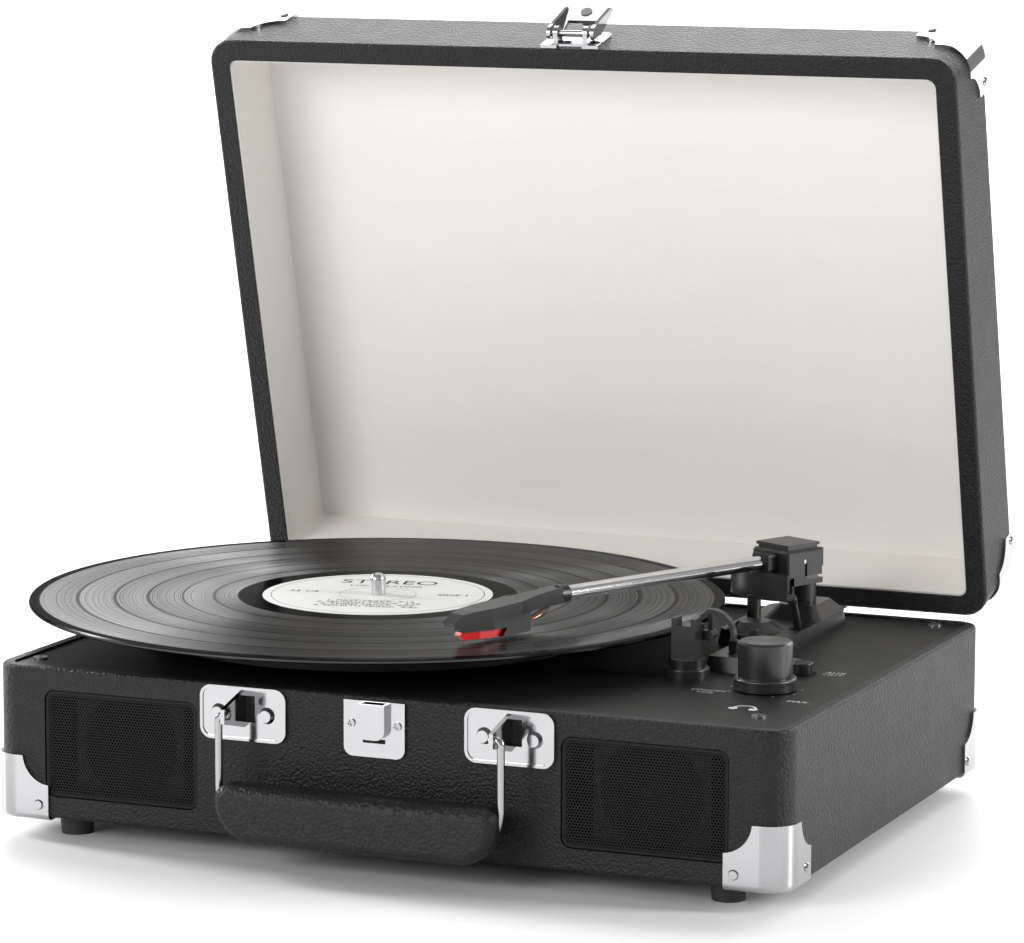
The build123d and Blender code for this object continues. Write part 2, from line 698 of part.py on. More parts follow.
def knuckle(x, length, plate_z, up):
    """One barrel of a hinge with the lug that joins it to its leaf; up is 1 for the lid's side."""
    reach = HINGE_Y - REAR_Y - (0.6 if up > 0 else 0)
    with BuildPart() as barrel:
        with BuildSketch(Plane.YZ.offset(x - length / 2)):
            with Locations((HINGE_Y, HINGE_Z)):
                Circle(KNUCKLE_R)
            with Locations((HINGE_Y - reach / 2, HINGE_Z + up * (KNUCKLE_R - LEAF_T / 2))):
                Rectangle(reach, LEAF_T)
            with Locations((HINGE_Y - reach + LEAF_T / 2, (HINGE_Z + plate_z) / 2 + up * 0.7)):
                Rectangle(LEAF_T, abs(plate_z - HINGE_Z) - 1.0)
            with Locations((HINGE_Y, HINGE_Z)):
                Circle(HINGE_PIN_R + RUN, mode=Mode.SUBTRACT)
        extrude(amount=length)
    return barrel.part


def leaf(x, low, high, y):
    """A flat hinge leaf standing against a rear wall."""
    with BuildPart() as plate:
        with BuildSketch(Plane.XZ.offset(-y)):
            with Locations((x, (low + high) / 2)):
                RectangleRounded(HINGE_W, high - low, 2)
        extrude(amount=-LEAF_T)
    return plate.part


with BuildPart() as hinge_base_leaves:
    for side in (-1, 1):
        add(leaf(side * HINGE_X, HINGE_Z - KNUCKLE_R - LEAF_H, HINGE_Z - KNUCKLE_R + 0.6, REAR_Y))
        for third in (-1, 1):
            middle = side * HINGE_X + third * (KNUCKLE_L + KNUCKLE_GAP / 2)
            add(knuckle(middle, KNUCKLE_L - KNUCKLE_GAP, HINGE_Z - KNUCKLE_R - 3, -1))
save(hinge_base_leaves.part, "hinge_base_leaves")

with BuildPart() as hinge_lid_leaves:
    for side in (-1, 1):
        add(leaf(side * HINGE_X, LID_Z + 1.0, LID_Z + 1.0 + LEAF_H, REAR_Y))
        with BuildSketch(Plane.XZ.offset(-REAR_Y - 0.6)):
            with Locations((side * HINGE_X, LID_Z + 1.0 + 2.0)):
                Rectangle(KNUCKLE_L - 2 * KNUCKLE_GAP, 4.0)
        extrude(amount=-LEAF_T)
        add(knuckle(side * HINGE_X, KNUCKLE_L - 2 * KNUCKLE_GAP, LID_Z + 2.0, 1))
save_open(hinge_lid_leaves.part, "hinge_lid_leaves")

with BuildPart() as hinge_pins:
    for side in (-1, 1):
        with BuildSketch(Plane.YZ.offset(side * HINGE_X - HINGE_W / 2 - 0.5)):
            with Locations((HINGE_Y, HINGE_Z)):
                Circle(HINGE_PIN_R)
        extrude(amount=HINGE_W + 1)
save(hinge_pins.part, "hinge_pins")


# ---------------------------------------------------------------- lid

with BuildPart() as lid_shell:
    with BuildSketch(Plane.XY.offset(LID_Z)):
        RectangleRounded(CASE_W, CASE_D, CORNER_R)
    extrude(amount=LID_H)
    fillet(lid_shell.faces().sort_by(Axis.Z)[-1].edges(), LID_EDGE_R)
    fillet(lid_shell.faces().sort_by(Axis.Z)[0].edges(), EDGE_R)
    with BuildSketch(Plane.XY.offset(LID_Z)):
        RectangleRounded(CASE_W - 2 * LID_WALL, CASE_D - 2 * LID_WALL, CORNER_R - LID_WALL + 2.5)
    extrude(amount=LID_H - LID_TOP_T, mode=Mode.SUBTRACT)
save_open(lid_shell.part, "lid_shell")

with BuildPart() as lid_lining:
    with BuildSketch(Plane.XY.offset(LID_Z + LINING_INSET)):
        RectangleRounded(CASE_W - 2 * LID_WALL, CASE_D - 2 * LID_WALL, CORNER_R - LID_WALL + 2.5)
    extrude(amount=LID_H - LID_TOP_T - LINING_INSET)
    with BuildSketch(Plane.XY.offset(LID_Z + LINING_INSET)):
        RectangleRounded(
            CASE_W - 2 * (LID_WALL + LINING_T),
            CASE_D - 2 * (LID_WALL + LINING_T),
            CORNER_R - LID_WALL + 2.5 - LINING_T,
        )
    extrude(amount=LID_H - LID_TOP_T - LINING_INSET - LINING_T, mode=Mode.SUBTRACT)
save_open(lid_lining.part, "lid_lining")


# ---------------------------------------------------------------- drive and record

PLATTER_TOP = RECORD_Z - RECORD_T - MAT_T
PLATTER_LOW = DECK_Z + PLATTER_GAP
HUB_R = 9.0

with BuildPart() as spindle:
    with BuildSketch(Plane.XY.offset(DECK_Z - DECK_T - 4)):
        with Locations((SPINDLE_X, SPINDLE_Y)):
            Circle(12)
    extrude(amount=4)
    with BuildSketch(Plane.XY.offset(DECK_Z - DECK_T - 4)):
        with Locations((SPINDLE_X, SPINDLE_Y)):
            Circle(SPINDLE_R)
    extrude(amount=DECK_T + 4 + RECORD_UP + SPINDLE_UP)
    fillet(spindle.faces().sort_by(Axis.Z)[-1].edges(), SPINDLE_R * 0.8)
save(spindle.part, "spindle")

with BuildPart() as platter:
    with BuildSketch(Plane.XY.offset(PLATTER_LOW)):
        with Locations((SPINDLE_X, SPINDLE_Y)):
            Circle(PLATTER_R)
    extrude(amount=PLATTER_TOP - PLATTER_LOW)
    fillet(platter.faces().sort_by(Axis.Z)[-1].edges(), 1.2)
    with BuildSketch(Plane.XY.offset(PLATTER_LOW)):
        with Locations((SPINDLE_X, SPINDLE_Y)):
            Circle(PLATTER_R - 3)
            Circle(BELT_RING_R, mode=Mode.SUBTRACT)
            Circle(BELT_RING_R - 3)
            Circle(HUB_R, mode=Mode.SUBTRACT)
    extrude(amount=PLATTER_TOP - PLATTER_LOW - PLATTER_T, mode=Mode.SUBTRACT)
    with BuildSketch(Plane.XY.offset(PLATTER_LOW)):
        with Locations((SPINDLE_X, SPINDLE_Y)):
            Circle(SPINDLE_R + RUN)
    extrude(amount=PLATTER_TOP - PLATTER_LOW, mode=Mode.SUBTRACT)
save(platter.part, "platter")


def disc(low, thickness, outer, inner):
    """A flat ring round the spindle."""
    with BuildPart() as ring:
        with BuildSketch(Plane.XY.offset(low)):
            with Locations((SPINDLE_X, SPINDLE_Y)):
                Circle(outer)
                Circle(inner, mode=Mode.SUBTRACT)
        extrude(amount=thickness)
    return ring.part


save(disc(PLATTER_TOP, MAT_T, PLATTER_R - 2, RECORD_HOLE_R), "platter_mat")
with BuildPart() as vinyl_record:
    add(disc(RECORD_Z - RECORD_T, RECORD_T, RECORD_R, RECORD_HOLE_R))
    chamfer(vinyl_record.edges().filter_by(GeomType.CIRCLE).sort_by(SortBy.RADIUS)[-2:], 0.5)
save(vinyl_record.part, "vinyl_record")
save(disc(RECORD_Z, LABEL_T, LABEL_R, RECORD_HOLE_R), "record_label")

PULLEY_LOW = DECK_Z + 3.0
PULLEY_H = 8.0
MOTOR_R = 16.0
MOTOR_H = 24.0
SHAFT_R = 1.0

with BuildPart() as motor_pulley:
    with BuildSketch(Plane.XY.offset(PULLEY_LOW)):
        with Locations((PULLEY_X, PULLEY_Y)):
            Circle(PULLEY_R + 1.2)
    extrude(amount=1.0)
    with BuildSketch(Plane.XY.offset(PULLEY_LOW)):
        with Locations((PULLEY_X, PULLEY_Y)):
            Circle(PULLEY_R)
    extrude(amount=PULLEY_H - 1)
    with BuildSketch(Plane.XY.offset(PULLEY_LOW + PULLEY_H - 1)):
        with Locations((PULLEY_X, PULLEY_Y)):
            Circle(PULLEY_R + 1.2)
    extrude(amount=1.0)
    with BuildSketch(Plane.XY.offset(DECK_Z - DECK_T - 8)):
        with Locations((PULLEY_X, PULLEY_Y)):
            Circle(SHAFT_R)
    extrude(amount=DECK_T + 8 + 3)
save(motor_pulley.part, "motor_pulley")

with BuildPart() as drive_motor:
    with BuildSketch(Plane.XY.offset(DECK_Z - DECK_T - MOTOR_H)):
        with Locations((PULLEY_X, PULLEY_Y)):
            Circle(MOTOR_R)
    extrude(amount=MOTOR_H)
    with BuildSketch(Plane.XY.offset(DECK_Z - DECK_T - 9)):
        with Locations((PULLEY_X, PULLEY_Y)):
            Circle(SHAFT_R + RUN)
    extrude(amount=9, mode=Mode.SUBTRACT)
save(drive_motor.part, "drive_motor")


def belt_loop(out):
    """The closed outline that stands a distance out from the belt ring and the pulley."""
    with BuildSketch(Plane.XY.offset(PULLEY_LOW + (PULLEY_H - BELT_W) / 2)) as loop:
        with Locations((SPINDLE_X, SPINDLE_Y)):
            Circle(BELT_RING_R + out)
        with Locations((PULLEY_X, PULLEY_Y)):
            Circle(PULLEY_R + out)
        make_hull(mode=Mode.REPLACE)
    return loop.sketch


with BuildPart() as drive_belt:
    extrude(belt_loop(BELT_GAP + BELT_T), amount=BELT_W)
    extrude(belt_loop(BELT_GAP), amount=BELT_W, mode=Mode.SUBTRACT)
save(drive_belt.part, "drive_belt")


# ---------------------------------------------------------------- tonearm

ARM_C = cos(radians(ARM_ANGLE))
ARM_S = sin(radians(ARM_ANGLE))
ARM_DIR = (-ARM_S, -ARM_C, 0)
ARM_SIDE = (ARM_C, -ARM_S, 0)  # to the right of the arm


def arm_top(z):
    """Level plane at height z: local x runs along the arm from its upright axis, local y to the right."""
    return Plane(origin=(ARM_X, ARM_Y, z), x_dir=ARM_DIR, z_dir=(0, 0, 1))


def arm_profile(out=0.0):
    """Upright plane along the arm: local x runs along the arm, local y up from the record."""
    origin = (ARM_X + out * ARM_C, ARM_Y - out * ARM_S, RECORD_Z)
    return Plane(origin=origin, x_dir=ARM_DIR, z_dir=(-ARM_C, ARM_S, 0))


def arm_section(s):
    """Plane across the arm at distance s, centred on the tube's axis."""
    origin = (ARM_X - s * ARM_S, ARM_Y - s * ARM_C, TUBE_Z)
    return Plane(origin=origin, x_dir=ARM_SIDE, z_dir=ARM_DIR)


TONGUE_L = 101.5
TONGUE_R = 118.0
TONGUE_FRONT = -21.0
BODY_L = 84.0
BODY_R = 121.0
BODY_FRONT = 28.0
BODY_REAR = 112.0
BODY_NECK = 14.0
BODY_CORNER_R = 9.0
DIAL_X = 100.0
DIAL_Y = 44.0
DIAL_R = 12.5
DIAL_H = 4.0
STEM_ANGLE = radians(26)
STEM_REACH = (LIFT_R_IN + LIFT_R_OUT) / 2
STEM_X = ARM_X - STEM_REACH * sin(STEM_ANGLE)
STEM_Y = ARM_Y - STEM_REACH * cos(STEM_ANGLE)
LEVER_W = 3.6
LEVER_H = 5.0
LEVER_X = 109.5
SPEED_Y = -8.0
AUTOSTOP_Y = 17.0
LEVER_TRAVEL = 4.0
LEVER_ROOT = 2.0
LEVER_FIT = 0.3

with BuildPart() as arm_base_plate:
    with BuildSketch(Plane.XY.offset(DECK_Z)):
        with Locations(((TONGUE_L + TONGUE_R) / 2, (TONGUE_FRONT + BODY_FRONT + BODY_NECK) / 2)):
            Rectangle(TONGUE_R - TONGUE_L, BODY_FRONT + BODY_NECK - TONGUE_FRONT)
    extrude(amount=PLATE_H, taper=PLATE_SLOPE)
    with BuildSketch(Plane.XY.offset(DECK_Z)) as body_outline:
        with BuildLine():
            Polyline(
                (BODY_R, BODY_FRONT),
                (BODY_R, BODY_REAR),
                (BODY_L, BODY_REAR),
                (BODY_L, BODY_FRONT + BODY_NECK),
                (BODY_L + BODY_NECK, BODY_FRONT),
                close=True,
            )
        make_face()
        fillet(body_outline.vertices().group_by(Axis.Y)[-1], BODY_CORNER_R)
    extrude(amount=PLATE_H, taper=PLATE_SLOPE)
    with BuildSketch(Plane.XY.offset(PLATE_Z - 0.2)):
        with Locations((ARM_X, ARM_Y)):
            RectangleRounded(27, 38, 4)
    with BuildSketch(Plane.XY.offset(PEDESTAL_Z)):
        with Locations((ARM_X, ARM_Y)):
            RectangleRounded(17, 24, 3)
    loft()
    with BuildSketch(Plane.XY.offset(PLATE_Z - 0.2)):
        with Locations((DIAL_X, DIAL_Y)):
            Circle(DIAL_R)
    with BuildSketch(Plane.XY.offset(PLATE_Z + DIAL_H)):
        with Locations((DIAL_X, DIAL_Y)):
            Circle(DIAL_R * 0.55)
    loft()
    with BuildSketch(Plane.XY.offset(DECK_Z)):
        with Locations((STEM_X, STEM_Y)):
            Circle(LIFT_STEM_R + RUN)
    extrude(amount=PLATE_H + PEDESTAL_H, mode=Mode.SUBTRACT)
    with BuildSketch(Plane.XY.offset(PLATE_Z - LEVER_ROOT - 0.5)):
        with Locations((LEVER_X, SPEED_Y), (LEVER_X, AUTOSTOP_Y)):
            Rectangle(2.0 + 2 * LEVER_FIT, LEVER_W + 2 * LEVER_TRAVEL + 2 * LEVER_FIT)
    extrude(amount=LEVER_ROOT + 1, mode=Mode.SUBTRACT)
    with BuildSketch(Plane.XY.offset(DECK_Z + 0.8)):
        with Locations((CUE_X, CUE_Y)):
            Rectangle(CUE_HUB_W + 0.6, 14)
    extrude(amount=PLATE_H + PEDESTAL_H, mode=Mode.SUBTRACT)
    with BuildSketch(Plane.YZ.offset(CUE_X - CUE_HUB_W / 2 - 2)):
        with Locations((CUE_Y, DECK_Z + 3.6)):
            Circle(1.0 + RUN)
    extrude(amount=CUE_HUB_W + 3.6, mode=Mode.SUBTRACT)
    with BuildSketch(Plane.XY.offset(PEDESTAL_Z - 6)):
        with Locations((ARM_X, ARM_Y)):
            Circle(POST_R)
    extrude(amount=8, mode=Mode.SUBTRACT)
save(arm_base_plate.part, "arm_base_plate")

YOKE_STEM_R = 2.5

with BuildPart() as arm_post:
    with BuildSketch(Plane.XY.offset(PEDESTAL_Z - 6)):
        with Locations((ARM_X, ARM_Y)):
            Circle(POST_R)
            Circle(YOKE_STEM_R + RUN, mode=Mode.SUBTRACT)
    extrude(amount=POST_H + 6)
save(arm_post.part, "arm_post")

YOKE_Z = PEDESTAL_Z + POST_H + 0.3
CHEEK_IN = 5.6
CHEEK_OUT = 7.6
YOKE_BASE_T = 2.4

with BuildPart() as arm_yoke:
    with BuildSketch(Plane.XY.offset(PEDESTAL_Z - 4)):
        with Locations((ARM_X, ARM_Y)):
            Circle(YOKE_STEM_R)
    extrude(amount=POST_H + 5)
    with BuildSketch(arm_top(YOKE_Z)):
        Circle(6.0)
        with Locations((PIN_S / 2, 0)):
            Rectangle(PIN_S + 7, 2 * CHEEK_OUT)
    extrude(amount=YOKE_BASE_T)
    with BuildSketch(arm_top(YOKE_Z)):
        for side in (-1, 1):
            with Locations((PIN_S, side * (CHEEK_IN + CHEEK_OUT) / 2)):
                Rectangle(7, CHEEK_OUT - CHEEK_IN)
    extrude(amount=TUBE_Z + 2.8 - YOKE_Z)
    with BuildSketch(arm_profile()):
        with Locations((PIN_S, ARM_UP)):
            Circle(PIN_R + RUN)
    extrude(amount=CHEEK_OUT + 1, both=True, mode=Mode.SUBTRACT)
save(arm_yoke.part, "arm_yoke")

BLOCK_REAR = PIN_S - BLOCK_L / 2
BLOCK_FRONT = PIN_S + BLOCK_L / 2
SOCKET_W = 10.0
SOCKET_H = 8.4
POCKET_W = 2 * (CHEEK_OUT + 0.6)

with BuildPart() as arm_block:
    with BuildSketch(arm_top(TUBE_Z - BLOCK_DOWN)):
        with Locations((PIN_S, 0)):
            Rectangle(BLOCK_L, BLOCK_W)
    extrude(amount=BLOCK_DOWN + BLOCK_UP - 2 * BLOCK_STEP)
    chamfer(arm_block.edges().filter_by(Axis.Z), 0.8)
    chamfer(arm_block.faces().sort_by(Axis.Z)[-1].edges(), 0.9)
    with BuildSketch(arm_top(TUBE_Z + BLOCK_UP - 2 * BLOCK_STEP)):
        with Locations((PIN_S, 0)):
            Rectangle(BLOCK_L - 4, BLOCK_W - 4)
    extrude(amount=BLOCK_STEP)
    with BuildSketch(arm_top(TUBE_Z + BLOCK_UP - BLOCK_STEP)):
        with Locations((PIN_S, 0)):
            Rectangle(BLOCK_L - 2.6, BLOCK_W - 2.6)
    extrude(amount=BLOCK_STEP)
    with BuildSketch(arm_top(TUBE_Z - 3.5)):
        with Locations((BLOCK_REAR - 1.2, 0)):
            Rectangle(2.6, BLOCK_W - 5)
    extrude(amount=8.0)
    with BuildSketch(arm_section(BLOCK_FRONT - 0.5)):
        RectangleRounded(SOCKET_W, SOCKET_H, 1.5)
    extrude(amount=SOCKET_END - BLOCK_FRONT + 0.5)
    with BuildSketch(arm_top(TUBE_Z - BLOCK_DOWN)):
        with Locations((PIN_S + 0.3, 0)):
            Rectangle(BLOCK_L - 3.6, POCKET_W)
    extrude(amount=BLOCK_DOWN + 3.6, mode=Mode.SUBTRACT)
    with BuildSketch(arm_section(TUBE_START)):
        Circle(TUBE_R)
    extrude(amount=SOCKET_END, mode=Mode.SUBTRACT)
    with BuildSketch(arm_profile()):
        with Locations((PIN_S, ARM_UP)):
            Circle(PIN_R)
    extrude(amount=BLOCK_W, both=True, mode=Mode.SUBTRACT)
    with BuildSketch(arm_profile(BLOCK_W / 2)):
        with Locations((PIN_S - 0.2, ARM_UP - BLOCK_DOWN / 2)):
            Rectangle(1.4, BLOCK_DOWN)
    extrude(amount=1.0, mode=Mode.SUBTRACT)
save(arm_block.part, "arm_block")

with BuildPart() as lift_pin:
    with BuildSketch(arm_profile()):
        with Locations((PIN_S, ARM_UP)):
            Circle(PIN_R)
    extrude(amount=BLOCK_W / 2 - 0.3, both=True)
save(lift_pin.part, "lift_pin")

with BuildPart() as arm_tube:
    with BuildSketch(arm_section(TUBE_START)):
        Circle(TUBE_R)
        Circle(TUBE_BORE_R, mode=Mode.SUBTRACT)
    extrude(amount=COLLAR_S + COLLAR_L - 1 - TUBE_START)
save(arm_tube.part, "arm_tube")

SHELL_S = COLLAR_S + COLLAR_L
SHELL_W = 13.0
NOSE_W = 6.5
CART_REAR = STYLUS_S - 34.0
NOSE_S = STYLUS_S + 6.6

with BuildPart() as headshell:
    with BuildSketch(arm_profile()):
        with BuildLine():
            Polyline(
                (SHELL_S - 0.5, ARM_UP - 3.2),
                (SHELL_S - 0.5, ARM_UP + 3.2),
                (SHELL_S + 3, ARM_UP + 3.2),
                (STYLUS_S - 31, 15.6),
                (STYLUS_S - 3, 13.6),
                (STYLUS_S + 1.5, 12.8),
                (NOSE_S, 9.6),
                (NOSE_S - 1.3, 7.6),
                (NOSE_S - 5, 8.2),
                (CART_REAR, 10.0),
                close=True,
            )
        make_face()
    extrude(amount=SHELL_W / 2, both=True)
    with BuildSketch(arm_top(RECORD_Z)):
        with BuildLine():
            Polyline(
                (SHELL_S - 0.5, -COLLAR_R + 0.3),
                (CART_REAR - 6, -COLLAR_R),
                (CART_REAR + 6, -SHELL_W / 2),
                (STYLUS_S - 12, -SHELL_W / 2),
                (NOSE_S, -NOSE_W / 2),
                (NOSE_S, NOSE_W / 2),
                (STYLUS_S - 12, SHELL_W / 2),
                (CART_REAR + 6, SHELL_W / 2),
                (CART_REAR - 6, COLLAR_R),
                (SHELL_S - 0.5, COLLAR_R - 0.3),
                close=True,
            )
        make_face()
    extrude(amount=2 * ARM_UP, mode=Mode.INTERSECT)
    with BuildSketch(arm_section(COLLAR_S)):
        Circle(COLLAR_R)
    extrude(amount=COLLAR_L)
    with BuildSketch(arm_section(COLLAR_S)):
        Circle(TUBE_R)
    extrude(amount=COLLAR_L - 1, mode=Mode.SUBTRACT)
    with BuildSketch(arm_top(RECORD_Z + ARM_UP - 0.6)):
        with BuildLine():
            Polyline(
                (SHELL_S - 1, -COLLAR_R + 1),
                (SHELL_S + 6, -COLLAR_R - 1.2),
                (SHELL_S + 22, -COLLAR_R - 6.4),
                (SHELL_S + 23, -COLLAR_R - 3.4),
                (SHELL_S + 10, -COLLAR_R + 1.5),
                close=True,
            )
        make_face()
    extrude(amount=1.2)
save(headshell.part, "headshell")

CART_W = 11.0

with BuildPart() as cartridge:
    with BuildSketch(arm_profile()):
        with BuildLine():
            Polyline(
                (NOSE_S - 5, 8.2),
                (STYLUS_S + 0.6, 5.2),
                (STYLUS_S - 21, 5.2),
                (STYLUS_S - 18.5, 1.6),
                (CART_REAR, 2.2),
                (CART_REAR, 10.0),
                close=True,
            )
        make_face()
    extrude(amount=CART_W / 2, both=True)
    with BuildSketch(arm_top(RECORD_Z)):
        with BuildLine():
            Polyline(
                (CART_REAR, -CART_W / 2),
                (STYLUS_S - 14, -CART_W / 2),
                (NOSE_S - 5, -NOSE_W / 2 + 0.4),
                (NOSE_S - 5, NOSE_W / 2 - 0.4),
                (STYLUS_S - 14, CART_W / 2),
                (CART_REAR, CART_W / 2),
                close=True,
            )
        make_face()
    extrude(amount=2 * ARM_UP, mode=Mode.INTERSECT)
save(cartridge.part, "cartridge")

STYLUS_W = 7.0
TIP_GAP = 0.15

with BuildPart() as stylus:
    with BuildSketch(arm_profile()):
        with BuildLine():
            Polyline(
                (STYLUS_S - 21.0, 5.2),
                (STYLUS_S + 0.6, 5.2),
                (STYLUS_S + 1.6, 3.8),
                (STYLUS_S - 0.4, 2.0),
                (STYLUS_S - 18.5, 1.6),
                close=True,
            )
        make_face()
    extrude(amount=STYLUS_W / 2, both=True)
    with BuildSketch(arm_top(RECORD_Z)):
        with BuildLine():
            Polyline(
                (STYLUS_S - 22, -STYLUS_W / 2),
                (STYLUS_S - 8, -STYLUS_W / 2),
                (STYLUS_S + 2, -1.6),
                (STYLUS_S + 2, 1.6),
                (STYLUS_S - 8, STYLUS_W / 2),
                (STYLUS_S - 22, STYLUS_W / 2),
                close=True,
            )
        make_face()
    extrude(amount=2 * ARM_UP, mode=Mode.INTERSECT)
    with BuildSketch(arm_top(RECORD_Z + TIP_GAP)):
        with Locations((STYLUS_S - 1.6, 0)):
            Circle(0.25)
    extrude(amount=3.0, taper=-10)
save(stylus.part, "stylus")

LIFT_Z = TUBE_Z - TUBE_R - LIFT_TOP_GAP - LIFT_H

with BuildPart() as cue_platform:
    with BuildSketch(Plane.XY.offset(LIFT_Z)):
        with Locations((ARM_X, ARM_Y)):
            Circle(LIFT_R_OUT)
            Circle(LIFT_R_IN, mode=Mode.SUBTRACT)
        with BuildLine():
            start = radians(-90 - LIFT_TO)
            stop = radians(-90 - LIFT_FROM)
            reach = 3 * LIFT_R_OUT
            Polyline(
                (ARM_X, ARM_Y),
                (ARM_X + reach * cos(start), ARM_Y + reach * sin(start)),
                (ARM_X + reach * cos((start + stop) / 2), ARM_Y + reach * sin((start + stop) / 2)),
                (ARM_X + reach * cos(stop), ARM_Y + reach * sin(stop)),
                close=True,
            )
        make_face(mode=Mode.INTERSECT)
    extrude(amount=LIFT_H)
    with BuildSketch(Plane.XY.offset(DECK_Z + 1.5)):
        with Locations((STEM_X, STEM_Y)):
            Circle(LIFT_STEM_R)
    extrude(amount=LIFT_Z - DECK_Z)
save(cue_platform.part, "cue_platform")

CUE_Z = DECK_Z + 3.6

with BuildPart() as cue_lever:
    with BuildSketch(Plane.YZ.offset(CUE_X - CUE_HUB_W / 2)):
        with Locations((CUE_Y, CUE_Z)):
            Circle(CUE_HUB_R)
    extrude(amount=CUE_HUB_W)
    with BuildSketch(Plane.YZ.offset(CUE_X - CUE_HUB_W / 2 - 1.5)):
        with Locations((CUE_Y, CUE_Z)):
            Circle(1.0)
    extrude(amount=CUE_HUB_W + 3)
    lean = radians(CUE_LEAN)
    up = (0, -sin(lean), cos(lean))
    with BuildSketch(Plane(origin=(CUE_X, CUE_Y, CUE_Z), x_dir=(1, 0, 0), z_dir=up)):
        RectangleRounded(2 * CUE_R, 2 * CUE_R - 0.6, 0.9)
    extrude(amount=CUE_L)
    tip = (CUE_X, CUE_Y - CUE_L * sin(lean), CUE_Z + CUE_L * cos(lean))
    with BuildSketch(Plane(origin=tip, x_dir=(1, 0, 0), z_dir=up)):
        Circle(CUE_TIP_R)
    extrude(amount=CUE_TIP_L)
    fillet(cue_lever.faces().sort_by(Axis.Z)[-1].edges(), 0.8)
save(cue_lever.part, "cue_lever")


def slide_lever(y):
    """A small square lever standing in a slot of the arm's base plate."""
    with BuildPart() as lever:
        with BuildSketch(Plane.XY.offset(PLATE_Z - LEVER_ROOT)):
            with Locations((LEVER_X, y)):
                Rectangle(2.0, LEVER_W)
        extrude(amount=LEVER_ROOT + 0.4)
        with BuildSketch(Plane.XY.offset(PLATE_Z + 0.3)):
            with Locations((LEVER_X, y)):
                Rectangle(LEVER_W, LEVER_W)
        extrude(amount=LEVER_H)
        chamfer(lever.faces().sort_by(Axis.Z)[-1].edges(), 0.4)
    return lever.part


save(slide_lever(SPEED_Y), "speed_lever")
save(slide_lever(AUTOSTOP_Y), "autostop_lever")

CLIP_PIVOT_X = REST_X + REST_W / 2 + 2.6
CLIP_PIVOT_Z = DECK_Z + 17.0
CLIP_W = 3.6
CLIP_Y = REST_Y + REST_W / 2 + 0.4 + CLIP_W / 2
CLIP_PIN_R = 1.0
CLIP_R = 10.6

with BuildPart() as arm_rest:
    with BuildSketch(Plane.XY.offset(DECK_Z)):
        with Locations((REST_X, REST_Y)):
            Circle(9.5)
    extrude(amount=4.0)
    fillet(arm_rest.faces().sort_by(Axis.Z)[-1].edges(), 0.8)
    with BuildSketch(Plane.XY.offset(DECK_Z + 4)):
        with Locations((REST_X, REST_Y)):
            Circle(7.6)
    extrude(amount=3.5)
    with BuildSketch(Plane.XY.offset(DECK_Z + 7.5)):
        with Locations((REST_X, REST_Y)):
            Rectangle(REST_W, REST_W)
    extrude(amount=SADDLE_UP - 7.5)
    with BuildSketch(Plane.XY.offset(DECK_Z + SADDLE_UP)):
        with Locations((REST_X - REST_W / 2 + 1.0, REST_Y - 1.6), (REST_X + REST_W / 2 - 1.0, REST_Y - 1.6)):
            Rectangle(2.0, REST_W - 3.2)
    extrude(amount=PRONG_UP - SADDLE_UP)
    with BuildSketch(Plane.XZ.offset(-CLIP_Y + CLIP_W / 2 + 0.3)):
        with Locations((CLIP_PIVOT_X, CLIP_PIVOT_Z)):
            Circle(2.2)
        with Locations(((CLIP_PIVOT_X + REST_X) / 2, CLIP_PIVOT_Z)):
            Rectangle(CLIP_PIVOT_X - REST_X, 4.0)
        with Locations((CLIP_PIVOT_X, CLIP_PIVOT_Z)):
            Circle(CLIP_PIN_R + RUN, mode=Mode.SUBTRACT)
    extrude(amount=2.4)
save(arm_rest.part, "arm_rest")

with BuildPart() as arm_clip:
    with BuildSketch(Plane.XZ.offset(-CLIP_Y + CLIP_W / 2)):
        with Locations((CLIP_PIVOT_X, CLIP_PIVOT_Z)):
            Circle(2.2)
        with BuildLine():
            Polyline(
                (CLIP_PIVOT_X - 0.9, CLIP_PIVOT_Z),
                (CLIP_PIVOT_X - 0.9, CLIP_PIVOT_Z + CLIP_R - 0.4),
                (CLIP_PIVOT_X + 0.9, CLIP_PIVOT_Z + CLIP_R - 0.4),
                (CLIP_PIVOT_X + 0.9, CLIP_PIVOT_Z),
                close=True,
            )
        make_face()
        with BuildLine():
            outer = CenterArc((CLIP_PIVOT_X, CLIP_PIVOT_Z), CLIP_R, -12, 112)
            inner = CenterArc((CLIP_PIVOT_X, CLIP_PIVOT_Z), CLIP_R - 1.6, -12, 112)
            Line(outer @ 0, inner @ 0)
            Line(outer @ 1, inner @ 1)
        make_face()
    extrude(amount=-CLIP_W)
    with BuildSketch(Plane.XZ.offset(-CLIP_Y + CLIP_W / 2)):
        with Locations((CLIP_PIVOT_X, CLIP_PIVOT_Z)):
            Circle(CLIP_PIN_R)
    extrude(amount=2.8)
save(arm_clip.part, "arm_clip")


# ---------------------------------------------------------------- controls

with BuildPart() as volume_knob:
    with BuildSketch(Plane.XY.offset(DECK_Z + KNOB_GAP)):
        with Locations((KNOB_X, KNOB_Y)):
            Circle(KNOB_SKIRT_R)
    extrude(amount=KNOB_SKIRT_H)
    fillet(volume_knob.faces().sort_by(Axis.Z)[-1].edges(), 1.0)
    with BuildSketch(Plane.XY.offset(DECK_Z + KNOB_GAP + KNOB_SKIRT_H)):
        with Locations((KNOB_X, KNOB_Y)):
            Circle(KNOB_R)
    extrude(amount=KNOB_H - KNOB_GAP - KNOB_SKIRT_H)
    chamfer(volume_knob.faces().sort_by(Axis.Z)[-1].edges(), 0.9)
    with BuildSketch(Plane.XY.offset(DECK_Z - DECK_T - 6)):
        with Locations((KNOB_X, KNOB_Y)):
            Circle(KNOB_STEM_R)
    extrude(amount=DECK_T + 6 + KNOB_GAP)
save(volume_knob.part, "volume_knob")

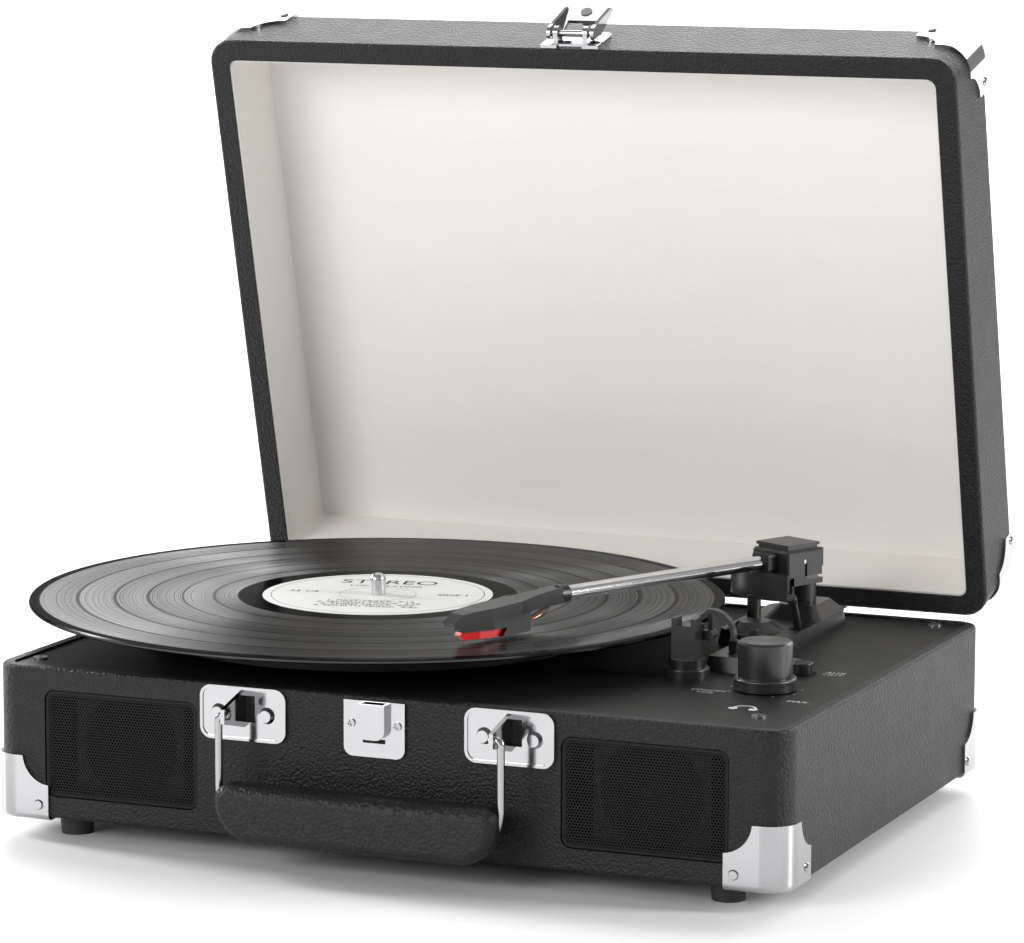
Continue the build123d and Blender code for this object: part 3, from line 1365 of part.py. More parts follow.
with BuildPart() as volume_pot:
    with BuildSketch(Plane.XY.offset(DECK_Z - DECK_T - 9)):
        with Locations((KNOB_X, KNOB_Y)):
            RectangleRounded(17, 17, 2)
    extrude(amount=9)
    with BuildSketch(Plane.XY.offset(DECK_Z - DECK_T - 7)):
        with Locations((KNOB_X, KNOB_Y)):
            Circle(KNOB_STEM_R + RUN)
    extrude(amount=8, mode=Mode.SUBTRACT)
save(volume_pot.part, "volume_pot")

with BuildPart() as source_button:
    with BuildSketch(Plane.XY.offset(DECK_Z - DECK_T - 1)):
        with Locations((BUTTON_X, BUTTON_Y)):
            Circle(BUTTON_R)
    extrude(amount=DECK_T + 1 + BUTTON_UP)
    fillet(source_button.faces().sort_by(Axis.Z)[-1].edges(), 0.6)
save(source_button.part, "source_button")


# ---------------------------------------------------------------- electronics and sockets

with BuildPart() as amplifier_board:
    with BuildSketch(Plane.XY.offset(FLOOR_T)):
        with Locations((40, 60)):
            with GridLocations(84, 44, 2, 2):
                Circle(3)
    extrude(amount=5)
    with BuildSketch(Plane.XY.offset(FLOOR_T + 5)):
        with Locations((40, 60)):
            RectangleRounded(92, 52, 2)
    extrude(amount=1.6)
    with BuildSketch(Plane.XY.offset(FLOOR_T + 6.6)):
        with Locations((15, 60)):
            Rectangle(22, 26)
        with Locations((48, 70), (48, 52), (66, 70)):
            Circle(5)
    extrude(amount=14)
save(amplifier_board.part, "amplifier_board")

RCA_SPOTS = [(SOCKET_X - 17 + RCA_STEP * i, SOCKET_Z) for i in range(2)]
INLET_SPOT = (SOCKET_X + 18, SOCKET_Z)
REAR = Plane.XZ.offset(-REAR_Y)
PANEL_T = 1.5

with BuildPart() as socket_panel:
    with BuildSketch(REAR):
        with Locations((SOCKET_X, SOCKET_Z)):
            RectangleRounded(PANEL_W, PANEL_H, 3)
        with Locations(*RCA_SPOTS):
            Circle(RCA_NECK_R, mode=Mode.SUBTRACT)
        with Locations(INLET_SPOT):
            Circle(INLET_R + INLET_WALL, mode=Mode.SUBTRACT)
    extrude(amount=-PANEL_T)
save(socket_panel.part, "socket_panel")

with BuildPart() as line_out_sockets:
    with BuildSketch(REAR.offset(RCA_IN)):
        with Locations(*RCA_SPOTS):
            Circle(RCA_NECK_R)
    extrude(amount=-(RCA_IN + PANEL_T))
    with BuildSketch(REAR.offset(-PANEL_T)):
        with Locations(*RCA_SPOTS):
            Circle(RCA_R)
    extrude(amount=-RCA_OUT)
    with BuildSketch(REAR.offset(-PANEL_T - RCA_OUT)):
        with Locations(*RCA_SPOTS):
            Circle(RCA_BORE_R)
    extrude(amount=RCA_OUT + 2, mode=Mode.SUBTRACT)
save(line_out_sockets.part, "line_out_sockets")

with BuildPart() as power_inlet:
    with BuildSketch(REAR.offset(INLET_DEPTH + 2)):
        with Locations(INLET_SPOT):
            Circle(INLET_R + INLET_WALL)
    extrude(amount=-(INLET_DEPTH + 2 + PANEL_T + INLET_OUT))
    with BuildSketch(REAR.offset(-PANEL_T - INLET_OUT)):
        with Locations(INLET_SPOT):
            Circle(INLET_R)
    extrude(amount=INLET_DEPTH, mode=Mode.SUBTRACT)
save(power_inlet.part, "power_inlet")
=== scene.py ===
"""Suitcase turntable record player: finishes, fine pieces, studio and camera round the fixed CAD frame.

Metres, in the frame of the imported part: X to the right, Y to the rear, Z up from the case's underside.
"""

import json
import math

import bpy
import numpy as np
from mathutils import Matrix, Vector


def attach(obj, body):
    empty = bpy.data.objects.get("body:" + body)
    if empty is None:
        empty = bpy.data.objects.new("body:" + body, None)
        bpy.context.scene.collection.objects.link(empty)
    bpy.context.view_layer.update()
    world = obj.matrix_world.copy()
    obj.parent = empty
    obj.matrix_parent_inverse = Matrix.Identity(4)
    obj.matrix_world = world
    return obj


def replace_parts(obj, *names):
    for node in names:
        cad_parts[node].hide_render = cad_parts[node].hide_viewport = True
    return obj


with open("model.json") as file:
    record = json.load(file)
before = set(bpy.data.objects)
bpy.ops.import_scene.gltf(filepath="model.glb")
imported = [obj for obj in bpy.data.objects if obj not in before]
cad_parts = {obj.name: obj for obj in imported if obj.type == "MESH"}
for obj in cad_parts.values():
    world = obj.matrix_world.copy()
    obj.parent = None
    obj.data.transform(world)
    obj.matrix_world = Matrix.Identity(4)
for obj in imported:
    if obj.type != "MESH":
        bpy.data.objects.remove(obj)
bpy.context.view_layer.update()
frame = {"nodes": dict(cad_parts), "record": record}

# ---------------------------------------------------------------- driving dimensions

DECK_Z = 0.063
FLOOR_Z = -0.009
RECORD_Z = 0.0806
RECORD_R = 0.1508
LABEL_T = 0.00015
SPINDLE = (-0.058, 0.0)
KNOB = (0.1375, -0.0475)
ARM_PIVOT = (0.1065, 0.090)
ARM_ANGLE = math.radians(25.1)
TUBE_Z = 0.095
PRINT_UP = 0.00006  # ink stands this far above its surface

GRILLE_X = 0.1163
GRILLE_Z = 0.032
GRILLE_W = 0.071
GRILLE_H = 0.0455
GRILLE_R = 0.0045
GRILLE_Y = -0.1282
CELL = 0.00135  # pitch of the grille's holes
HOLE_SHARE = 0.66  # hole across its cell
WEB = 0.0006
BORDER = 0.0016  # width of the pressed border, free of holes

WIRE_R = 0.00032
WIRE_PITCH = 0.0019  # between neighbouring arm leads

PRINT_HEIGHT = 0.0042  # letters by the knob and the button
SMALL_PRINT_HEIGHT = 0.0036  # letters by the levers
LABEL_TURN = math.radians(14)
KNOB_TICK_STEPS = 24
KNOB_SWEEP = 300


# ---------------------------------------------------------------- finishes


def node(tree, kind, **values):
    """A shader node with its settings and unlinked inputs set by name."""
    made = tree.nodes.new(kind)
    for key, value in values.items():
        if hasattr(made, key):
            setattr(made, key, value)
        else:
            made.inputs[key.replace("_", " ")].default_value = value
    return made


def object_point(tree, stretch=(1, 1, 1)):
    """The place on the piece in metres, stretched per axis."""
    coords = tree.nodes.new("ShaderNodeTexCoord")
    mapping = tree.nodes.new("ShaderNodeMapping")
    mapping.inputs["Scale"].default_value = stretch
    tree.links.new(coords.outputs["Object"], mapping.inputs["Vector"])
    return mapping.outputs["Vector"]


def mix_value(tree, factor, low, high):
    """A number that runs from low to high with factor."""
    span = tree.nodes.new("ShaderNodeMapRange")
    span.inputs["To Min"].default_value = low
    span.inputs["To Max"].default_value = high
    tree.links.new(factor, span.inputs["Value"])
    return span.outputs["Result"]


def finish(
    name,
    color,
    rough,
    metal=0.0,
    grain=400.0,
    cells=0.0,
    bump=0.00005,
    shade=0.12,
    spread=0.06,
    stretch=(1, 1, 1),
    **extra,
):
    """A surface with fine grain: noise, or rounded cells when a cell scale is given.

    The grain moves the colour by shade and the roughness by spread, and raises the surface by bump metres.
    Any further setting is one of the shader's own sockets.
    """
    mat = bpy.data.materials.new(name)
    mat.use_nodes = True
    tree = mat.node_tree
    bsdf = tree.nodes["Principled BSDF"]
    bsdf.inputs["Metallic"].default_value = metal
    for key, value in extra.items():
        bsdf.inputs[key.replace("_", " ")].default_value = value
    point = object_point(tree, stretch)
    fine = node(tree, "ShaderNodeTexNoise", Scale=grain, Detail=4.0, Roughness=0.6)
    broad = node(tree, "ShaderNodeTexNoise", Scale=grain / 18, Detail=3.0, Roughness=0.55)
    tree.links.new(point, fine.inputs["Vector"])
    tree.links.new(point, broad.inputs["Vector"])
    height = fine.outputs["Fac"]
    if cells:
        wobble = tree.nodes.new("ShaderNodeVectorMath")
        wobble.operation = "MULTIPLY_ADD"
        wobble.inputs[1].default_value = (0.0006, 0.0006, 0.0006)
        tree.links.new(fine.outputs["Color"], wobble.inputs[0])
        tree.links.new(point, wobble.inputs[2])
        pebble = node(tree, "ShaderNodeTexVoronoi", Scale=cells, feature="SMOOTH_F1")
        pebble.inputs["Smoothness"].default_value = 0.4
        tree.links.new(wobble.outputs["Vector"], pebble.inputs["Vector"])
        flip = tree.nodes.new("ShaderNodeMath")
        flip.operation = "SUBTRACT"
        flip.inputs[0].default_value = 1.0
        tree.links.new(pebble.outputs["Distance"], flip.inputs[1])
        height = flip.outputs["Value"]
    tone = node(tree, "ShaderNodeMix", data_type="RGBA")
    tone.inputs["A"].default_value = (*[c * (1 - shade) for c in color], 1)
    tone.inputs["B"].default_value = (*[min(1.0, c * (1 + shade)) for c in color], 1)
    blend = tree.nodes.new("ShaderNodeMath")
    blend.operation = "MULTIPLY_ADD"
    blend.inputs[1].default_value = 0.5
    half = tree.nodes.new("ShaderNodeMath")
    half.operation = "MULTIPLY"
    half.inputs[1].default_value = 0.5
    tree.links.new(broad.outputs["Fac"], half.inputs[0])
    tree.links.new(height, blend.inputs[0])
    tree.links.new(half.outputs["Value"], blend.inputs[2])
    tree.links.new(blend.outputs["Value"], tone.inputs["Factor"])
    tree.links.new(tone.outputs["Result"], bsdf.inputs["Base Color"])
    dulled = mix_value(tree, broad.outputs["Fac"], rough - spread, rough + spread)
    tree.links.new(dulled, bsdf.inputs["Roughness"])
    raised = node(tree, "ShaderNodeBump", Strength=1.0, Distance=bump)
    tree.links.new(height, raised.inputs["Height"])
    tree.links.new(raised.outputs["Normal"], bsdf.inputs["Normal"])
    return mat


def radius_from(tree, centre):
    """Distance from an upright axis, and the level direction round it, on a piece in the shared frame."""
    coords = tree.nodes.new("ShaderNodeTexCoord")
    away = tree.nodes.new("ShaderNodeVectorMath")
    away.operation = "SUBTRACT"
    away.inputs[1].default_value = (*centre, 0.0)
    flat = tree.nodes.new("ShaderNodeVectorMath")
    flat.operation = "MULTIPLY"
    flat.inputs[1].default_value = (1, 1, 0)
    length = tree.nodes.new("ShaderNodeVectorMath")
    length.operation = "LENGTH"
    turned = tree.nodes.new("ShaderNodeVectorMath")
    turned.operation = "CROSS_PRODUCT"
    turned.inputs[1].default_value = (0, 0, 1)
    world = node(
        tree, "ShaderNodeVectorTransform", vector_type="VECTOR", convert_from="OBJECT", convert_to="WORLD"
    )
    tree.links.new(coords.outputs["Object"], away.inputs[0])
    tree.links.new(away.outputs["Vector"], flat.inputs[0])
    tree.links.new(flat.outputs["Vector"], length.inputs[0])
    tree.links.new(flat.outputs["Vector"], turned.inputs[0])
    tree.links.new(turned.outputs["Vector"], world.inputs["Vector"])
    return length.outputs["Value"], world.outputs["Vector"]


def turned_finish(mat, centre, anisotropic):
    """Gives a finish rings or brushing round an upright axis."""
    tree = mat.node_tree
    bsdf = tree.nodes["Principled BSDF"]
    distance, round_it = radius_from(tree, centre)
    bsdf.inputs["Anisotropic"].default_value = anisotropic
    tree.links.new(round_it, bsdf.inputs["Tangent"])
    return tree, bsdf, distance


# share of the record's radius, and how deeply grooved it is there: label, six bands with gaps between, rim
GROOVE_BANDS = (
    *((0.0, 0.1), (0.40, 0.1)),
    *((0.405, 0.9), (0.465, 0.75), (0.47, 0.15)),
    *((0.475, 0.8), (0.555, 0.95), (0.56, 0.2)),
    *((0.566, 0.85), (0.655, 0.7), (0.66, 0.15)),
    *((0.667, 0.9), (0.75, 0.75), (0.755, 0.15)),
    *((0.762, 0.85), (0.855, 0.95), (0.86, 0.2)),
    *((0.867, 0.75), (0.965, 0.9)),
    *((0.972, 0.05), (1.0, 0.05)),
)


def vinyl_finish():
    """Pressed record: bands of grooves between smoother gaps, with a smooth rim."""
    mat = finish("vinyl", (0.24, 0.24, 0.245), 0.3, metal=1.0)  # the grooves take over all but the metal
    tree, bsdf, distance = turned_finish(mat, SPINDLE, 0.92)
    bsdf.inputs["Specular Tint"].default_value = (0.3, 0.3, 0.3, 1)
    bands = tree.nodes.new("ShaderNodeValToRGB")
    ramp = bands.color_ramp
    ramp.interpolation = "LINEAR"
    for i, (place, level) in enumerate(GROOVE_BANDS):
        stop = ramp.elements[i] if i < 2 else ramp.elements.new(place)
        stop.position = place
        stop.color = (level, level, level, 1)
    share = tree.nodes.new("ShaderNodeMath")
    share.operation = "DIVIDE"
    share.inputs[1].default_value = RECORD_R
    tree.links.new(distance, share.inputs[0])
    tree.links.new(share.outputs["Value"], bands.inputs["Fac"])
    rings = node(tree, "ShaderNodeTexNoise", noise_dimensions="1D", Scale=1500.0, Detail=3.0, Roughness=0.7)
    tree.links.new(distance, rings.inputs["W"])
    blend = tree.nodes.new("ShaderNodeMath")
    blend.operation = "MULTIPLY"
    tree.links.new(bands.outputs["Color"], blend.inputs[0])
    tree.links.new(rings.outputs["Fac"], blend.inputs[1])
    tree.links.new(mix_value(tree, blend.outputs["Value"], 0.12, 0.50), bsdf.inputs["Roughness"])
    sheen = node(tree, "ShaderNodeMix", data_type="RGBA")
    sheen.inputs["A"].default_value = (0.04, 0.04, 0.042, 1)
    sheen.inputs["B"].default_value = (0.62, 0.62, 0.63, 1)
    tree.links.new(blend.outputs["Value"], sheen.inputs["Factor"])
    tree.links.new(sheen.outputs["Result"], bsdf.inputs["Base Color"])
    raised = node(tree, "ShaderNodeBump", Strength=0.5, Distance=0.00004)
    tree.links.new(blend.outputs["Value"], raised.inputs["Height"])
    tree.links.new(raised.outputs["Normal"], bsdf.inputs["Normal"])
    return mat


def knob_finish():
    """Gloss black with a finely turned top."""
    mat = finish("knob_black", (0.02, 0.02, 0.021), 0.24, grain=900.0, bump=0.000003, Specular_IOR_Level=0.6)
    tree, bsdf, distance = turned_finish(mat, KNOB, 0.8)
    rings = node(tree, "ShaderNodeTexNoise", noise_dimensions="1D", Scale=6000.0, Detail=2.0)
    tree.links.new(distance, rings.inputs["W"])
    tree.links.new(mix_value(tree, rings.outputs["Fac"], 0.16, 0.36), bsdf.inputs["Roughness"])
    return mat


NICKEL = dict(metal=1.0, grain=220.0, bump=0.000012, shade=0.05, spread=0.05)
BLACK = dict(grain=1400.0, bump=0.000012, shade=0.2, spread=0.05, Specular_IOR_Level=0.35)
LEATHER = dict(grain=1600.0, cells=820.0, bump=0.00045, shade=0.35, spread=0.06, Specular_IOR_Level=0.27)
MESH = dict(grain=1500.0, bump=0.00001, shade=0.2, Specular_IOR_Level=0.2)
GRIP_LEATHER = {**LEATHER, "cells": 640.0, "bump": 0.0005}

finishes = {
    "leatherette": finish("leatherette", (0.0125, 0.0125, 0.013), 0.44, **LEATHER),
    "grip_leather": finish("grip_leather", (0.015, 0.015, 0.0155), 0.42, **GRIP_LEATHER),
    "lining": finish(
        "lining", (0.87, 0.85, 0.81), 0.85, grain=1500.0, bump=0.00006, shade=0.05, stretch=(0.35, 1, 1)
    ),
    "panel": finish("panel", (0.03, 0.03, 0.03), 0.7, grain=700.0, bump=0.00005, shade=0.25),
    "foot_rubber": finish("foot_rubber", (0.022, 0.022, 0.022), 0.65, grain=900.0, bump=0.00004),
    "screw_steel": finish("screw_steel", (0.42, 0.42, 0.43), 0.28, **NICKEL),
    "deck_black": finish("deck_black", (0.008, 0.008, 0.0085), 0.48, **{**BLACK, "Specular_IOR_Level": 0.22}),
    "grille_mesh": finish("grille_mesh", (0.006, 0.006, 0.0062), 0.42, **MESH),
    "basket_steel": finish("basket_steel", (0.06, 0.06, 0.06), 0.5, metal=0.6, grain=500.0),
    "cone_paper": finish("cone_paper", (0.012, 0.012, 0.012), 0.9, grain=1200.0, bump=0.00008, shade=0.3),
    "magnet": finish("magnet", (0.16, 0.16, 0.17), 0.55, metal=0.7, grain=700.0),
    "guard_nickel": finish("guard_nickel", (0.44, 0.44, 0.45), 0.11, **NICKEL),
    "bail_wire": finish("bail_wire", (0.42, 0.42, 0.43), 0.13, **NICKEL),
    "hinge_steel": finish("hinge_steel", (0.5, 0.5, 0.5), 0.32, **{**NICKEL, "stretch": (6, 1, 1)}),
    "socket_plastic": finish("socket_plastic", (0.02, 0.02, 0.02), 0.45, **BLACK),
    "rca_metal": finish("rca_metal", (0.78, 0.6, 0.3), 0.22, **NICKEL),
    "board_green": finish("board_green", (0.02, 0.12, 0.06), 0.4, grain=260.0, bump=0.00002, shade=0.4),
    "motor_steel": finish("motor_steel", (0.5, 0.5, 0.5), 0.34, **{**NICKEL, "stretch": (1, 1, 8)}),
    "belt_rubber": finish("belt_rubber", (0.015, 0.015, 0.015), 0.7, grain=1200.0),
    "platter_black": finish("platter_black", (0.02, 0.02, 0.021), 0.5, **BLACK),
    "mat_felt": finish("mat_felt", (0.02, 0.02, 0.02), 0.95, grain=2600.0, bump=0.0003, shade=0.45),
    "vinyl": vinyl_finish(),
    "label_paper": finish("label_paper", (0.70, 0.70, 0.69), 0.6, grain=1100.0, bump=0.000012, shade=0.03),
    "spindle_steel": finish("spindle_steel", (0.66, 0.66, 0.67), 0.2, **{**NICKEL, "stretch": (1, 1, 9)}),
    "arm_black": finish("arm_black", (0.014, 0.014, 0.015), 0.3, **{**BLACK, "Specular_IOR_Level": 0.5}),
    "tube_chrome": finish("tube_chrome", (0.72, 0.72, 0.73), 0.08, **NICKEL),
    "stylus_red": finish("stylus_red", (0.62, 0.012, 0.012), 0.22, grain=700.0, bump=0.00001, shade=0.15),
    "knob_black": knob_finish(),
    "button_grey": finish("button_grey", (0.2, 0.2, 0.2), 0.35, **BLACK),
}
ink_black = finish("ink_black", (0.02, 0.02, 0.02), 0.6, grain=2400.0, bump=0.000002, shade=0.3)
ink_white = finish("ink_white", (0.62, 0.62, 0.62), 0.6, grain=2400.0, bump=0.000002, shade=0.1)

for row in frame["record"]["subparts"]:
    mesh = frame["nodes"][row["node"]].data
    mesh.materials.clear()
    mesh.materials.append(finishes[row["material_slot"]])


# ---------------------------------------------------------------- building blocks


def piece(name, points, faces, mat, body, smooth=True):
    """A finished mesh at the origin that rides on a body."""
    mesh = bpy.data.meshes.new(name)
    mesh.from_pydata(np.asarray(points, float).tolist(), [], [list(f) for f in faces])
    mesh.update()
    mesh.polygons.foreach_set("use_smooth", np.full(len(mesh.polygons), smooth))
    mesh.materials.append(mat)
    made = bpy.data.objects.new(name, mesh)
    bpy.context.scene.collection.objects.link(made)
    if body:
        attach(made, body)
    return made


def wrapped_faces(rings, sides):
    """Quads between rings of points, closed round each ring; grid index (i, j) is i * sides + j."""
    i = np.arange(rings - 1)[:, None]
    j = np.arange(sides)[None, :]
    k = (j + 1) % sides
    quads = np.stack([i * sides + j, i * sides + k, (i + 1) * sides + k, (i + 1) * sides + j], axis=-1)
    return quads.reshape(-1, 4).tolist()


def tube(name, path, radius, mat, body, sides=10):
    """A round wire: point = path(t) + radius (cos a n(t) + sin a b(t)), with n and b square to the path.

    Both ends close on the path.
    """
    path = np.asarray(path, float)
    along = np.gradient(path, axis=0)
    along /= np.linalg.norm(along, axis=1)[:, None]
    side = np.cross(along, np.array([0.13, 0.21, 0.97]))
    side /= np.linalg.norm(side, axis=1)[:, None]
    other = np.cross(along, side)
    a = np.linspace(0, 2 * np.pi, sides, endpoint=False)
    across = np.cos(a)[None, :, None] * side[:, None] + np.sin(a)[None, :, None] * other[:, None]
    grid = path[:, None] + radius * across
    points = np.vstack([grid.reshape(-1, 3), path[:1], path[-1:]])
    faces = wrapped_faces(len(path), sides)
    j = np.arange(sides)
    k = (j + 1) % sides
    low = len(path) * sides
    top = (len(path) - 1) * sides
    faces += np.stack([k, j, np.full(sides, low)], axis=-1).tolist()
    faces += np.stack([top + j, top + k, np.full(sides, low + 1)], axis=-1).tolist()
    return piece(name, points, faces, mat, body)


def smooth_path(corners, count=40):
    """A Catmull-Rom curve through the corners, as an array of count points."""
    p = np.asarray(corners, float)
    p = np.vstack([2 * p[0] - p[1], p, 2 * p[-1] - p[-2]])
    t = np.linspace(0, len(p) - 3 - 1e-9, count)
    i = t.astype(int)
    f = (t - i)[:, None]
    a, b, c, d = p[i], p[i + 1], p[i + 2], p[i + 3]
    return 0.5 * (2 * b + (c - a) * f + (2 * a - 5 * b + 4 * c - d) * f**2 + (3 * b - 3 * c + d - a) * f**3)


def on_arm(s, side, up):
    """A point s along the arm from its upright axis, to its right by side and above the tube's axis by up."""
    c, n = math.cos(ARM_ANGLE), math.sin(ARM_ANGLE)
    return (ARM_PIVOT[0] - s * n + side * c, ARM_PIVOT[1] - s * c - side * n, TUBE_Z + up)


def lettering(name, text, size, place, turn, mat, body):
    """Flat printed words centred on place; turn is their angle in the level plane, in radians."""
    curve = bpy.data.curves.new(name, "FONT")
    curve.body = text
    curve.size = size
    curve.align_x = "CENTER"
    curve.align_y = "CENTER"
    carrier = bpy.data.objects.new(name + "_curve", curve)
    bpy.context.scene.collection.objects.link(carrier)
    bpy.context.view_layer.update()
    mesh = bpy.data.meshes.new_from_object(carrier.evaluated_get(bpy.context.evaluated_depsgraph_get()))
    bpy.data.objects.remove(carrier)
    mesh.name = name
    mesh.transform(Matrix.Translation(Vector(place)) @ Matrix.Rotation(turn, 4, "Z"))
    mesh.materials.clear()
    mesh.materials.append(mat)
    made = bpy.data.objects.new(name, mesh)
    bpy.context.scene.collection.objects.link(made)
    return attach(made, body)


def flat_arc(name, centre, inner, outer, start, stop, mat, body, steps=32):
    """A level band: point = centre + r (cos a, sin a, 0), r from inner to outer and a from start to stop."""
    a = np.linspace(start, stop, steps)
    ring = np.stack([np.cos(a), np.sin(a), np.zeros(steps)], axis=-1)
    points = np.vstack([inner * ring, outer * ring]) + np.asarray(centre, float)
    j = np.arange(steps - 1)
    faces = np.stack([j, steps + j, steps + j + 1, j + 1], axis=-1).tolist()
    return piece(name, points, faces, mat, body, smooth=False)


# ---------------------------------------------------------------- loudspeaker grilles


def rounded_outline(w, h, r, steps=8):
    """Points round a rounded rectangle, anticlockwise, as an array of (x, z)."""
    corner = np.linspace(0, np.pi / 2, steps)
    east, north = w / 2 - r, h / 2 - r
    centres = ((east, north), (-east, north), (-east, -north), (east, -north))
    parts = [
        np.stack([cx + r * np.cos(corner + q * np.pi / 2), cz + r * np.sin(corner + q * np.pi / 2)], axis=-1)
        for q, (cx, cz) in enumerate(centres)
    ]
    return np.vstack(parts)


# how far in from the grille's edge, and how far behind its face, all round
BORDER_PROFILE = (
    (0.0001, 0.0009),
    (0.0001, 0.0001),
    (0.0005, -0.0003),
    (BORDER, -0.0003),
    (0.0022, 0.0002),
    (0.0022, 0.0009),
)


def perforated_grille(name, x, node_name):
    """A sheet of six-sided holes inside a pressed border.

    Cell centres are at CELL (i + j/2, j sqrt(3)/2); each cell is six quads between its edge and its hole.
    """
    columns = int(GRILLE_W / CELL) + 2
    rows = int(GRILLE_H / (CELL * math.sqrt(3) / 2)) + 2
    j, i = np.meshgrid(np.arange(rows) - rows // 2, np.arange(columns) - columns // 2, indexing="ij")
    cx = ((i + (j % 2) / 2) * CELL).ravel()
    cz = (j * CELL * math.sqrt(3) / 2).ravel()
    inside = (np.abs(cx) < GRILLE_W / 2 - BORDER) & (np.abs(cz) < GRILLE_H / 2 - BORDER)
    cx, cz = cx[inside], cz[inside]
    a = np.pi / 6 + np.arange(6) * np.pi / 3
    edge = CELL / math.sqrt(3)
    ring = np.stack([np.cos(a), np.sin(a)], axis=-1)
    outer = np.stack([cx, cz], axis=-1)[:, None] + edge * ring
    inner = np.stack([cx, cz], axis=-1)[:, None] + edge * HOLE_SHARE * ring
    flat = np.concatenate([outer, inner], axis=1).reshape(-1, 2)
    front = np.column_stack([flat[:, 0] + x, np.full(len(flat), GRILLE_Y), flat[:, 1] + GRILLE_Z])
    back = front + np.array([0, WEB, 0])
    count = len(front)
    k = np.arange(6)
    n = (k + 1) % 6
    face = np.stack([k, n, 6 + n, 6 + k], axis=-1)
    wall = np.stack([6 + k, 6 + n, count + 6 + n, count + 6 + k], axis=-1)
    rear = np.stack([count + 6 + k, count + 6 + n, count + n, count + k], axis=-1)
    one = np.vstack([face, wall, rear])
    faces = (one[None] + (np.arange(len(cx)) * 12)[:, None, None]).reshape(-1, 4)
    border = [
        (rounded_outline(GRILLE_W - 2 * d, GRILLE_H - 2 * d, max(GRILLE_R - d, 0.0006)), y)
        for d, y in BORDER_PROFILE
    ]
    sides = len(border[0][0])
    rings = np.vstack(
        [np.column_stack([p[:, 0] + x, np.full(sides, GRILLE_Y + y), p[:, 1] + GRILLE_Z]) for p, y in border]
    )
    start = 2 * count
    hoop = np.asarray(wrapped_faces(len(border), sides)) + start
    close = np.arange(sides)
    nxt = (close + 1) % sides
    last = start + (len(border) - 1) * sides
    seal = np.stack([last + close, last + nxt, start + nxt, start + close], axis=-1)
    points = np.vstack([front, back, rings])
    quads = np.vstack([faces, hoop, seal]).tolist()
    made = piece(name, points, quads, finishes["grille_mesh"], "case", smooth=False)
    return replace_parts(made, node_name)


perforated_grille("grille_left", -GRILLE_X, "speaker_grille_left")
perforated_grille("grille_right", GRILLE_X, "speaker_grille_right")

# ---------------------------------------------------------------- tonearm leads

LEAD_COLOURS = ("arm_black", "stylus_red", "rca_metal", "arm_black")
for i, colour in enumerate(LEAD_COLOURS):
    across = (i - 1.5) * WIRE_PITCH
    lead = smooth_path(
        [
            on_arm(0.1668, across, -0.0082),
            on_arm(0.1625, across * 1.2, -0.0091 + 0.0004 * i),
            on_arm(0.1575, across * 0.9, -0.0072),
            on_arm(0.1530, across * 0.5, -0.0042),
        ]
    )
    tube(f"arm_lead_{i}", lead, WIRE_R, finishes[colour], "tonearm")

# ---------------------------------------------------------------- print on the deck

deck_print = DECK_Z + PRINT_UP
DECK_WORDS = (
    ("print_volume_max", "MAX", PRINT_HEIGHT, 0.158, -0.0665),
    ("print_volume_min", "ON/OFF\nVOL", PRINT_HEIGHT, 0.117, -0.0605),
    ("print_source", "AUX\nOUT", PRINT_HEIGHT, 0.153, -0.0055),
    ("print_speed", "33\n45\n78", SMALL_PRINT_HEIGHT, 0.127, -0.0085),
    ("print_stop", "ON\nOFF", SMALL_PRINT_HEIGHT, 0.127, 0.017),
)
for name, text, height, x, y in DECK_WORDS:
    lettering(name, text, height, (x, y, deck_print), 0, ink_white, "case")

phones = (0.1425, -0.0865, deck_print)
flat_arc("print_phones_band", phones, 0.0040, 0.0050, -0.15, math.pi + 0.15, ink_white, "case")
for side, tag in ((-1, "left"), (1, "right")):
    cup = (phones[0] + side * 0.0043, phones[1] - 0.0014, deck_print)
    flat_arc(f"print_phones_{tag}", cup, 0.0, 0.0019, 0, 2 * math.pi, ink_white, "case")
for i in range(0, KNOB_TICK_STEPS, 3):
    a = math.radians(-60 + i * KNOB_SWEEP / (KNOB_TICK_STEPS - 1))
    ring = (*KNOB, deck_print)
    flat_arc(f"print_tick_{i:02d}", ring, 0.0146, 0.0156, a, a + 0.05, ink_white, "case", steps=4)

# ---------------------------------------------------------------- record label

label_z = RECORD_Z + LABEL_T + PRINT_UP


def on_label(across, up):
    """A point on the label, across and up the printed page."""
    c, s = math.cos(LABEL_TURN), math.sin(LABEL_TURN)
    return (SPINDLE[0] + across * c - up * s, SPINDLE[1] + across * s + up * c, label_z)


TRACKS = "1. FIRST TRACK  3:12\n2. SECOND TRACK  2:58\n3. THIRD TRACK  4:05\n4. FOURTH TRACK  3:40"
LABEL_WORDS = (
    ("label_title", "STEREO", 0.0125, 0, 0.029),
    ("label_under_title", "LONG PLAYING", 0.0045, 0, 0.0195),
    ("label_side", "SIDE 1", 0.0052, 0.033, 0.002),
    ("label_speed", "33 1/3", 0.0052, -0.033, 0.002),
    ("label_tracks", TRACKS, 0.0042, 0, -0.024),
)
for name, text, height, across, up in LABEL_WORDS:
    lettering(name, text, height, on_label(across, up), LABEL_TURN, ink_black, "platter")

label_centre = (*SPINDLE, label_z)
flat_arc("label_ring", label_centre, 0.0462, 0.0465, 0, 2 * math.pi, ink_black, "platter", steps=96)
press_ring = finishes["screw_steel"]
flat_arc("label_press_ring", label_centre, 0.0165, 0.0168, 0, 2 * math.pi, press_ring, "platter", steps=64)

# ---------------------------------------------------------------- studio


